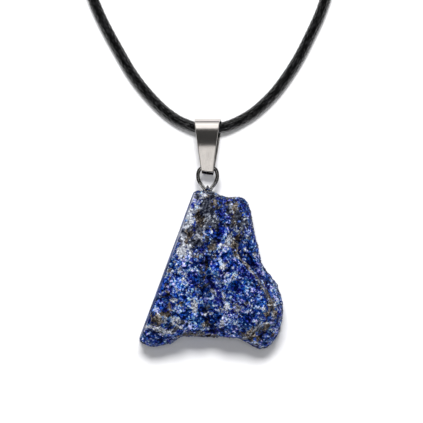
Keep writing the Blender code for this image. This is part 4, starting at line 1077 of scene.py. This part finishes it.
def lapis(settings):
    """Rough lapis lazuli: grains of lazurite, calcite and brown matter, mixed by the painted zones, with
    painted shade and painted glints.
    """
    board = Board("rough lapis lazuli")
    place = board.place()
    bent = place + (board.noise(place, 1.3, 2.0).out("Color") - 0.5) * 0.55
    coarse = board.cells(bent, 1.0 / COARSE_GRAIN)
    ragged = bent + (board.noise(place, 4.5, 1.0).out("Color") - 0.5) * 0.26
    fine = board.cells(ragged, 1.0 / FINE_GRAIN)
    gaps = board.cells(ragged, 1.0 / FINE_GRAIN, "DISTANCE_TO_EDGE")
    coarse_1, coarse_2, coarse_3 = board.parts(coarse.out("Color"))
    fine_1, fine_2, fine_3 = board.parts(fine.out("Color"))
    sugar = board.cells(ragged, 1.0 / SUGAR_GRAIN)
    sugar_1, sugar_2, _ = board.parts(sugar.out("Color"))
    patches = board.noise(place, 0.55, 3.0, 0.6)

    pale = board.painted("pale")
    earth = board.painted("earth")
    grey = board.painted("grey")
    vivid = board.painted("vivid")
    dark = board.painted("dark")
    sawn = board.painted("sawn")
    hollow = board.painted("hollow")

    tone = 0.46 * coarse_1 + 0.46 * fine_1 + 0.76 * sugar_1 - 0.305 + 1.2 * (patches - 0.5)
    # The dark zone, partly painted shade, and the painted shade of the hollows move grains towards their
    # dark colours
    tone = tone + settings.lightness - 0.34 * dark - 0.34 * hollow
    blues = board.ramp(tone, tinted(BLUE_STOPS, settings.blue))
    azure = board.ramp(tone + 0.06, tinted(AZURE_STOPS, settings.azure))
    calm = 0.16 + 0.68 * tone
    greys = board.ramp(calm, tinted(GREY_STOPS, settings.grey))
    earths = board.ramp(calm, tinted(EARTH_STOPS, settings.earth))
    whites = board.ramp(tone + 0.06, tinted(PALE_STOPS, settings.pale))

    colour = board.mix(board.step(vivid - coarse_3, -0.15, 0.15), blues, azure)
    colour = colour * (fine.out("Color") * TINT_SPREAD + TINT_BASE)
    colour = colour + (board.step(coarse_2, 0.68, 0.74) * tone) * VIOLET
    colour = colour + (board.step(coarse_2, 0.26, 0.20) * tone) * TEAL
    colour = board.mix(board.step(grey - 0.5 * coarse_2 - 0.5 * fine_3, -0.08, 0.08), colour, greys)
    colour = board.mix(board.step(earth - 0.4 * coarse_2 - 0.5 * fine_2, -0.06, 0.06), colour, earths)
    colour = board.mix(board.step(pale - 0.4 * coarse_3 - 0.5 * fine_3, -0.06, 0.06), colour, whites)
    # Painted glints: tiny pale specks that stand in for light glinting off the grains, partly white calcite;
    # none in the dark zone
    glint_pick = sugar_2 + 0.8 * (patches - 0.5) + 0.10 * (coarse_1 - 0.5) + 0.06 * pale - 0.03 * grey
    glint_specks = board.step(glint_pick, 1.0, 1.01) * (1.0 - dark)
    colour = board.mix(glint_specks, colour, GLINT_SPECK)
    # Painted shade darkens the sawn faces, less towards the top and the front, where pale grey patches of
    # dust and painted light lie
    dusty = board.painted("dusty")
    colour = colour * (1.0 - 0.35 * (sawn - dusty))
    dust_and_light_patches = board.step(board.noise(place, 1.1, 3.0, 0.6) + 0.45 * dusty, 0.45, 0.8)
    colour = board.mix(dusty * dust_and_light_patches * (0.55 + 0.3 * coarse_2), colour, DUST_AND_LIGHT_GREY)
    # Painted shade: darker along the edges between the fine grains, as in the crevices between them, except
    # on the sawn faces, and darker in the hollows
    shade = (1.0 - 0.72 * (1.0 - board.step(gaps, 0.0, 0.11)) * (1.0 - sawn)) * (1.0 - 0.4 * hollow)
    colour = colour * shade

    facets = board.add("ShaderNodeVectorMath", {"operation": "DOT_PRODUCT"},
                       {0: ragged - fine.out("Position"), 1: fine.out("Color") - 0.5}, "Value")
    sugar_facets = board.add("ShaderNodeVectorMath", {"operation": "DOT_PRODUCT"},
                             {0: ragged - sugar.out("Position"), 1: sugar.out("Color") - 0.5}, "Value")
    height = (facets * 0.8 - 0.10 * fine.out("Distance") + 0.6 * sugar_facets) * (1.0 - 0.85 * sawn)
    normal = board.bump(height, 0.001, 1.0)
    gloss = 0.14 + 0.22 * fine_3 + 0.60 * sawn
    return board.finish(Base_Color=colour, Roughness=gloss, Normal=normal,
                        Specular_IOR_Level=settings.shine)


def hollows(points, radius):
    """How far each point lies under the mean height of the points within a square round it.

    The mean heights of small square bins are summed over the square with running sums both ways.
    """
    bin_index = ((points[:, :2] - points[:, :2].min(axis=0)) / HOLLOW_BIN).astype(int)
    width, depth = bin_index.max(axis=0) + 1
    flat = bin_index[:, 0] * depth + bin_index[:, 1]
    counts = np.bincount(flat, minlength=width * depth).reshape(width, depth)
    sums = np.bincount(flat, weights=points[:, 2], minlength=width * depth).reshape(width, depth)
    filled = counts > 0
    layers = np.stack((np.where(filled, sums / np.maximum(counts, 1), 0.0), filled.astype(float)))
    reach = max(1, int(round(radius / HOLLOW_BIN)))
    padded = np.pad(layers, ((0, 0), (reach + 1, reach), (reach + 1, reach)))
    running = padded.cumsum(axis=1).cumsum(axis=2)
    side = 2 * reach + 1
    square = (running[:, side:, side:] - running[:, :-side, side:]
              - running[:, side:, :-side] + running[:, :-side, :-side])
    mean = square[0] / np.maximum(square[1], 1.0)
    return mean[bin_index[:, 0], bin_index[:, 1]] - points[:, 2]


def build_stone(settings):
    """The stone's skin on a fine grid, sawn on three faces, with its grains and its painted zones."""
    shares = np.concatenate([np.linspace(low, high, count, endpoint=False)
                             for low, high, count in STONE_ROWS])[1:]
    angle = np.linspace(-math.pi, math.pi, STONE_COLUMNS, endpoint=False)
    angles, rows = np.meshgrid(angle, shares)
    points = stone_points(angles, rows)
    ends = stone_points(np.zeros(2), np.array([0.0, 1.0]))

    def cut(places):
        sawn = np.zeros(places.shape[:-1])
        for plane in (SIDE_SAW, BEVEL_SAW, BACK_SAW):
            places, share = saw(places, plane)
            sawn = np.maximum(sawn, share)
        return places, sawn

    _, sawn = cut(points)
    normal = grid_normals(points)
    size = settings.grain_size
    stretched = points * COLUMN_STRETCH
    upper = smooth_step(points[..., 1], -5.0 * MM, 3.0 * MM)
    push = settings.grain_height * (0.62 * grain_height(points, size, 21)
                                    + 0.38 * grain_height(points, 0.55 * size, 31) - 0.35)
    push += settings.lump_height * (1.0 - 0.7 * upper) * (grain_height(points, 2.1 * size, 51) - 0.35)
    push += settings.column_height * upper * (smooth_noise(stretched, 0.8 * MM, 61) - 0.4)
    points = points + ((1.0 - sawn) * push)[..., None] * normal
    points, sawn = cut(points)
    ends, ends_sawn = cut(ends)
    low, high = (np.array(corner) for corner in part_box("stone"))
    points = np.clip(points, low, high)

    everywhere = np.vstack((points.reshape(-1, 3), ends))
    sawn = np.concatenate((sawn.ravel(), ends_sawn))
    upward = np.concatenate((normal[..., 2].ravel(), (1.0, -1.0)))
    x, y = everywhere[:, 0], everywhere[:, 1]
    ragged_x = x + 0.35 * MM * smooth_noise(everywhere, 0.9 * MM, 41)
    ragged_y = y + 0.35 * MM * smooth_noise(everywhere, 0.9 * MM, 42)
    on_front = smooth_step(everywhere[:, 2], 2.5 * MM, 6.0 * MM)
    hidden = 1.0 - on_front
    streaks = 0.5 + 0.5 * smooth_noise(everywhere, 3.1 * MM, 43)
    drift = 0.5 + 0.5 * smooth_noise(everywhere, 2.3 * MM, 44)
    columns = smooth_noise(everywhere * COLUMN_STRETCH, 0.62 * MM, 45)
    top_part = smooth_step(y, -4.0 * MM, 1.0 * MM)

    # Painted shade: how deep each front point lies in a small and in a wider hollow, to darken it
    front = upward > 0.1
    hollow = np.zeros(len(everywhere))
    for radius, depth, share in ((0.5 * MM, 0.10 * MM, 0.55), (1.6 * MM, 0.35 * MM, 0.14)):
        hollow[front] += share * np.clip(hollows(everywhere[front], radius) / depth, -0.6, 1.0)

    def zone(spots, veins, back):
        front_share = np.maximum(spot_share(ragged_x, ragged_y, spots),
                                 vein_share(ragged_x, ragged_y, veins))
        return on_front * front_share + hidden * back

    paints = {
        "pale": zone(PALE_SPOTS, PALE_VEINS, 0.6 * smooth_step(streaks, 0.62, 0.80)),
        "earth": (zone(EARTH_SPOTS, EARTH_VEINS, 0.6 * smooth_step(drift, 0.66, 0.82))
                  + 0.25 * on_front * top_part * np.clip(columns, -0.5, 1.0)),
        "grey": (zone(GREY_SPOTS, (), 0.3 * smooth_step(drift, 0.4, 0.7))
                 + 0.24 * on_front * top_part),
        "vivid": zone(VIVID_SPOTS, (), 0.25),
        # The dark zone is partly painted shade: the shaded spots, the ledge's shade line, and faces turning
        # downwards, painted darker
        "dark": (zone(DARK_AND_SHADED_SPOTS, LEDGE_SHADE_VEINS, 0.0) - zone(LIGHT_SPOTS, (), 0.0)
                 + 0.3 * smooth_step(-upward, -0.35, 0.1) * (1.0 - sawn)),
        "sawn": sawn,
        # Dust and painted light on the sawn faces, more towards the top and the front
        "dusty": (sawn * smooth_step(y, -5.5 * MM, -2.0 * MM)
                  * (0.2 + 0.8 * smooth_step(everywhere[:, 2], 3.5 * MM, 6.5 * MM))),
        "hollow": hollow * (1.0 - sawn),
    }
    stone = make_surface("lapis_rough", points, (ends[0], ends[1]), paints=paints)
    stone.data.materials.append(lapis(settings))
    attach(stone, STONE_BODY)
    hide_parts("stone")


def petal_cup_rows():
    """A petalled disc as rows: out along its underside to the rim, and back along its upper side.

    The rim's radius is the disc's plus the petal's reach times a power of the cosine of its phase.
    A ring's height is the petal's rise times a power of how far along the petal it lies. Both sides
    lie half the thickness off that sheet, square to its slope, and meet in a half circle at the rim.
    """
    angle = 2.0 * math.pi * np.arange(CUP_COLUMNS) / CUP_COLUMNS
    crown = np.abs(np.cos(0.5 * CUP_PETALS * angle)) ** CUP_PETAL_POINT
    draw = (CUP_PETAL_REACH - CUP_RADIUS) * crown
    shares = np.linspace(0.0, 1.0, 11)
    turns = np.radians(np.linspace(-90.0, 90.0, 7))
    share = np.concatenate((shares, np.ones(5), shares[::-1]))[:, None]
    turn = np.concatenate((np.full(10, turns[0]), turns, np.full(10, turns[-1])))[:, None]
    middle = CUP_RADIUS + share * draw
    height = CUP_Y + CUP_PETAL_RISE * (share * crown) ** CUP_PETAL_CURL
    slope = np.arctan(CUP_PETAL_CURL * CUP_PETAL_RISE * (share * crown) ** (CUP_PETAL_CURL - 1.0)
                      / (CUP_PETAL_REACH - CUP_RADIUS))
    half = 0.5 * CUP_THICKNESS
    radius = middle + half * np.cos(turn + slope)
    rise = height + half * np.sin(turn + slope)
    radius[:10] = (middle + half * np.sin(slope))[:10]
    radius[-10:] = (middle - half * np.sin(slope))[-10:]
    rows = np.stack((EYE_X + radius * np.cos(angle), rise, HINGE_Z + radius * np.sin(angle)), axis=-1)
    return rows, (EYE_X, CUP_Y - half, HINGE_Z), (EYE_X, CUP_Y + half, HINGE_Z)


def build_eye(settings):
    """One wire, two legs side by side in the stone and a pear-shaped eye, with its petalled cup."""
    half = [(EYE_X + side_x * MM, y * MM, HINGE_Z) for side_x, y in EYE_HALF_ROUTE_MM]
    other = [(EYE_X - side_x * MM, y * MM, HINGE_Z) for side_x, y in reversed(EYE_HALF_ROUTE_MM)]
    path = smooth_route(half + other, 0.11 * MM)
    rows = tube_rows(path, 0.5 * settings.wire_diameter, WIRE_SIDES, (0.0, 0.0, 1.0))
    eye = make_surface("eye_wire", rows, (path[0], path[-1]), path_lengths(path))
    cup_rows, under, over = petal_cup_rows()
    cup = make_surface("petal_cup", cup_rows, (under, over))
    both = bmesh.new()
    both.from_mesh(eye.data)
    both.from_mesh(cup.data)
    both.to_mesh(eye.data)
    both.free()
    bpy.data.objects.remove(cup)

    board = Board("steel wire with painted highlight")
    place = board.place()
    _, _, facing = board.parts(board.add("ShaderNodeTexCoord", output="Normal"))
    _, height, _ = board.parts(place)
    wire_mottle = board.noise(place, 1.6, 3.0, 0.6)
    drawn = board.noise(place, 7.0, 2.0)
    # Painted highlight: the wire takes its bright colour where it faces up and near its neck; its dark
    # colour on the sides and underside is painted shade
    neck_highlight = board.step(height, 9.9, 9.1)
    highlight = board.step(facing + 0.3 * (wire_mottle - 0.5) + 0.35 * neck_highlight, 0.90, 0.99)
    wire = tuple(settings.wire)
    shaded_wire = tuple(settings.shaded_wire)
    eye.data.materials.append(board.finish(
        Base_Color=board.mix(highlight, shaded_wire, wire), Metallic=1.0,
        Roughness=0.14 + 0.16 * wire_mottle + 0.06 * drawn, Normal=board.bump(drawn * 0.008, 0.001)))
    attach(eye, STONE_BODY)
    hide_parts("eye_loop")


def bail_profile(thickness):
    """The strip's middle line, seen from the side, as height over the wire and distance in front.

    It starts at the front end, under the wire, runs up the front, whose slope eases off to nothing
    at the top arc, round that arc and down the back, whose end lies a little lower.
    """
    arc_radius = BAIL_TOP_RADIUS - thickness / 2.0
    foot = [(-low * MM, front * MM) for front, low in BAIL_FRONT_FOOT_MM]
    turns = np.linspace(math.pi / 2.0, -math.pi / 2.0, 25)
    arc = [(BAIL_ARC_DISTANCE + arc_radius * math.cos(turn), arc_radius * math.sin(turn))
           for turn in turns]
    shares = np.linspace(0.0, 1.0, 12)[1:-1]
    front = [(foot[-1][0] + share * (BAIL_ARC_DISTANCE - foot[-1][0]),
              arc_radius - (1.0 - share) ** BAIL_FLANK_BOW * (arc_radius - foot[-1][1]))
             for share in shares]
    back_foot = [(-low * MM, -behind * MM) for behind, low in reversed(BAIL_BACK_FOOT_MM)]
    back = [(along, -away) for along, away in reversed(front)]
    return np.array(foot + front + arc + back + back_foot)


def strip_section(corner_steps):
    """A rectangle's outline with a quarter circle at each corner, as the side it is on and a turn.

    A point on the wide face close to each quarter circle keeps that face flat in its shading.
    """
    turn = np.radians(np.linspace(0.0, 90.0, corner_steps + 1))
    quarter_x = np.append(np.cos(turn), -0.7)
    quarter_y = np.append(np.sin(turn), 1.0)
    parts = []
    for side_x, side_y in ((1.0, 1.0), (-1.0, 1.0), (-1.0, -1.0), (1.0, -1.0)):
        part = np.stack((np.full(corner_steps + 2, side_x), np.full(corner_steps + 2, side_y),
                         side_x * quarter_x, side_y * quarter_y))
        parts.append(part if side_x * side_y > 0.0 else part[:, ::-1])
    return np.hstack(parts)


def build_bail(settings):
    """A strip bent along its profile and wider towards the top, with its own thickness and round edges."""
    thickness = settings.strip_thickness
    profile = bail_profile(thickness)
    flat = np.hstack((profile, np.zeros((len(profile), 1))))
    line = smooth_route(flat, path_lengths(flat)[-1] / BAIL_RINGS)[:, :2]
    tangent = np.gradient(line, axis=0)
    tangent /= np.linalg.norm(tangent, axis=1, keepdims=True)
    away = np.stack((-tangent[:, 1], tangent[:, 0]), axis=-1)
    length = path_lengths(line)
    lean = math.asin((HINGE_Z - BAIL_TOP_RADIUS - FLOOR_CLEARANCE) / BAIL_ARC_DISTANCE)
    splay = np.where(line[:, 1] > 0.0, BAIL_FRONT_SPLAY, BAIL_BACK_SPLAY)
    middle_x = (BAIL_TOP_X - BAIL_ROLL * line[:, 1]
                + splay * np.clip(1.0 - line[:, 0] / BAIL_ARC_DISTANCE, 0.0, 1.0))
    half_width = 0.5 * (BAIL_WIDTH_AT_WIRE + BAIL_WIDENING * line[:, 0])

    rounding = settings.edge_rounding
    from_end = np.minimum(length, length[-1] - length)
    ease = np.clip(1.0 - from_end / rounding, 0.0, 1.0)
    inset = rounding * (1.0 - np.sqrt(np.clip(1.0 - ease * ease, 0.0, 1.0)))
    side_x, side_y, curve_x, curve_y = strip_section(4)
    across = side_x * (half_width[:, None] - rounding - inset[:, None]) + rounding * curve_x
    depth = side_y * (0.5 * thickness - rounding - inset[:, None]) + rounding * curve_y
    near_end = smooth_step(-from_end, -BAIL_END_REACH, 0.0) * np.sign(line[:, 1])
    slant = BAIL_END_SLANT * near_end[:, None] * across
    rise = line[:, 0, None] + depth * away[:, 0, None] - slant * tangent[:, 0, None]
    out = line[:, 1, None] + depth * away[:, 1, None] - slant * tangent[:, 1, None]
    rows = np.stack((middle_x[:, None] + across,
                     HINGE_Y + rise * math.cos(lean) + out * math.sin(lean),
                     HINGE_Z - rise * math.sin(lean) + out * math.cos(lean)), axis=-1)
    caps = (rows[0].mean(axis=0), rows[-1].mean(axis=0))
    inside = np.broadcast_to(np.clip(-INSIDE_SIDE * side_y, 0.0, 1.0), rows.shape[:2])
    bail = make_surface("bail_strip", rows, caps, length,
                        {"inside": np.concatenate((inside.ravel(), (0.5, 0.5)))})

    board = Board("satin steel")
    place = board.place()
    x, y, z = board.parts(place)
    streaks = board.add("ShaderNodeCombineXYZ", None, {"X": x * 9.0, "Y": y * 0.5, "Z": z * 0.5})
    lines = board.noise(streaks, 1.0, 3.0, 0.6)
    smears = board.noise(place, 0.5, 2.0)
    steel = tuple(settings.steel)
    dull = tuple(0.86 * part for part in settings.steel)
    # Painted shade: the strip's inner faces, inside the fold, take a dark steel colour
    inside_shade = tuple(0.30 * part for part in settings.steel)
    bail.data.materials.append(board.finish(
        Base_Color=board.mix(board.painted("inside"), board.mix(smears, steel, dull), inside_shade), Metallic=1.0,
        Roughness=0.05 + 0.05 * lines + 0.03 * smears, Normal=board.bump(lines * 0.002, 0.001)))
    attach(bail, NECKLACE_BODY)
    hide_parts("bail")


def area_light(name, place, size, power, diffuse=True, glossy=True):
    """A rectangle of light, invisible to the camera, that faces the bail.

    place is its angle from straight up, the way that it stands, clockwise from +Y, and its distance.
    """
    tilt, turn, distance = place
    data = bpy.data.lights.new(name, "AREA")
    data.shape = "RECTANGLE"
    data.size, data.size_y = size
    data.energy = power
    light = bpy.data.objects.new(name, data)
    light.rotation_euler = (-tilt, 0.0, -turn)
    light.location = (distance * math.sin(tilt) * math.sin(turn),
                      HINGE_Y + distance * math.sin(tilt) * math.cos(turn), distance * math.cos(tilt))
    light.visible_camera = False
    light.visible_diffuse = diffuse
    light.visible_glossy = glossy
    return light


def build_stage(settings):
    """Floor, world, lights and camera."""
    corners = 3.0 * np.array(((-1.0, -1.0), (1.0, -1.0), (1.0, 1.0), (-1.0, 1.0)))
    mesh = bpy.data.meshes.new("floor")
    mesh.from_pydata([(x, y, -0.01 * MM) for x, y in corners], [], [(0, 1, 2, 3)])
    floor = bpy.data.objects.new("floor", mesh)
    board = Board("pale floor")
    grain = board.noise(board.place(), 0.02, 2.0)
    pale = tuple(settings.floor)
    floor.data.materials.append(board.finish(
        Base_Color=board.mix(grain, pale, tuple(0.99 * part for part in pale)), Roughness=0.9))

    world = bpy.data.worlds.new("soft room")
    world.use_nodes = True
    sky = Board(None, world.node_tree)
    _, _, height = sky.parts(sky.add("ShaderNodeTexCoord", output="Generated"))
    glow = settings.sky_top + (settings.sky_rim - settings.sky_top) * (1.0 - sky.step(height, *SKY_BAND))
    background = sky.add("ShaderNodeBackground", None, {"Color": (0.97, 0.98, 1.0, 1.0), "Strength": glow})
    sky.add("ShaderNodeOutputWorld", None, {"Surface": background})
    bpy.context.scene.world = world

    lights = [
        area_light("soft box over the bail", BOX_PLACE, BOX_SIZE, settings.box, glossy=False),
        area_light("fill over the bail", FILL_PLACE, FILL_SIZE, settings.fill, glossy=False),
        area_light("panel beyond the bail", PANEL_PLACE, PANEL_SIZE, settings.panel, diffuse=False),
        area_light("card over the bail", CARD_PLACE, CARD_SIZE, settings.card, diffuse=False),
    ]

    data = bpy.data.cameras.new("camera")
    data.sensor_width = SENSOR_WIDTH
    data.lens = SENSOR_WIDTH * settings.camera_distance / settings.field_width
    data.clip_start, data.clip_end = 0.01, 10.0
    camera = bpy.data.objects.new("camera", data)
    camera.location = (*VIEW_CENTRE, FIELD_HEIGHT + settings.camera_distance)

    for item in (floor, camera, *lights):
        bpy.context.scene.collection.objects.link(item)
    bpy.context.scene.camera = camera
    bpy.context.scene.view_settings.view_transform = "Standard"


class PENDANT_OT_stage(bpy.types.Operator):
    """Makes the floor, the lights and the camera."""

    bl_idname = "pendant.stage"
    bl_label = "Make the stage"

    def execute(self, context):
        build_stage(context.scene.pendant_stage)
        return {"FINISHED"}


class PENDANT_OT_cord(bpy.types.Operator):
    """Makes the cord with its coil, its tie and its closing knot."""

    bl_idname = "pendant.cord"
    bl_label = "Make the cord"

    def execute(self, context):
        build_cord(context.scene.pendant_cord)
        return {"FINISHED"}


class PENDANT_OT_stone(bpy.types.Operator):
    """Makes the rough stone."""

    bl_idname = "pendant.stone"
    bl_label = "Make the stone"

    def execute(self, context):
        build_stone(context.scene.pendant_stone)
        return {"FINISHED"}


class PENDANT_OT_eye(bpy.types.Operator):
    """Makes the wire eye in the stone's top."""

    bl_idname = "pendant.eye"
    bl_label = "Make the wire eye"

    def execute(self, context):
        build_eye(context.scene.pendant_metal)
        return {"FINISHED"}


class PENDANT_OT_bail(bpy.types.Operator):
    """Makes the folded strip bail."""

    bl_idname = "pendant.bail"
    bl_label = "Make the bail"

    def execute(self, context):
        build_bail(context.scene.pendant_metal)
        return {"FINISHED"}


class PENDANT_PT_panel(bpy.types.Panel):
    """Lists the pendant's sizes, colours and operators."""

    bl_idname = "PENDANT_PT_panel"
    bl_label = "Pendant"
    bl_space_type = "VIEW_3D"
    bl_region_type = "UI"
    bl_category = "Pendant"

    def draw(self, context):
        for name, settings, operators in PANEL_GROUPS:
            box = self.layout.box()
            box.label(text=name)
            group = getattr(context.scene, settings)
            for prop in group.bl_rna.properties:
                if prop.identifier not in ("rna_type", "name"):
                    box.prop(group, prop.identifier)
            for operator in operators:
                box.operator(operator)


PANEL_GROUPS = (
    ("Stage", "pendant_stage", ("pendant.stage",)),
    ("Cord", "pendant_cord", ("pendant.cord",)),
    ("Stone", "pendant_stone", ("pendant.stone",)),
    ("Metal", "pendant_metal", ("pendant.eye", "pendant.bail")),
)
SETTINGS = {
    "pendant_stage": StageSettings,
    "pendant_cord": CordSettings,
    "pendant_stone": StoneSettings,
    "pendant_metal": MetalSettings,
}
CLASSES = (
    *SETTINGS.values(), PENDANT_OT_stage, PENDANT_OT_cord, PENDANT_OT_stone, PENDANT_OT_eye,
    PENDANT_OT_bail, PENDANT_PT_panel,
)


def register():
    for kind in CLASSES:
        bpy.utils.register_class(kind)
    for name, kind in SETTINGS.items():
        setattr(bpy.types.Scene, name, PointerProperty(type=kind))


def unregister():
    for name in SETTINGS:
        delattr(bpy.types.Scene, name)
    for kind in reversed(CLASSES):
        bpy.utils.unregister_class(kind)


def main():
    register()
    bpy.ops.pendant.stage()
    bpy.ops.pendant.cord()
    bpy.ops.pendant.stone()
    bpy.ops.pendant.eye()
    bpy.ops.pendant.bail()


if __name__ == "__main__":
    main()
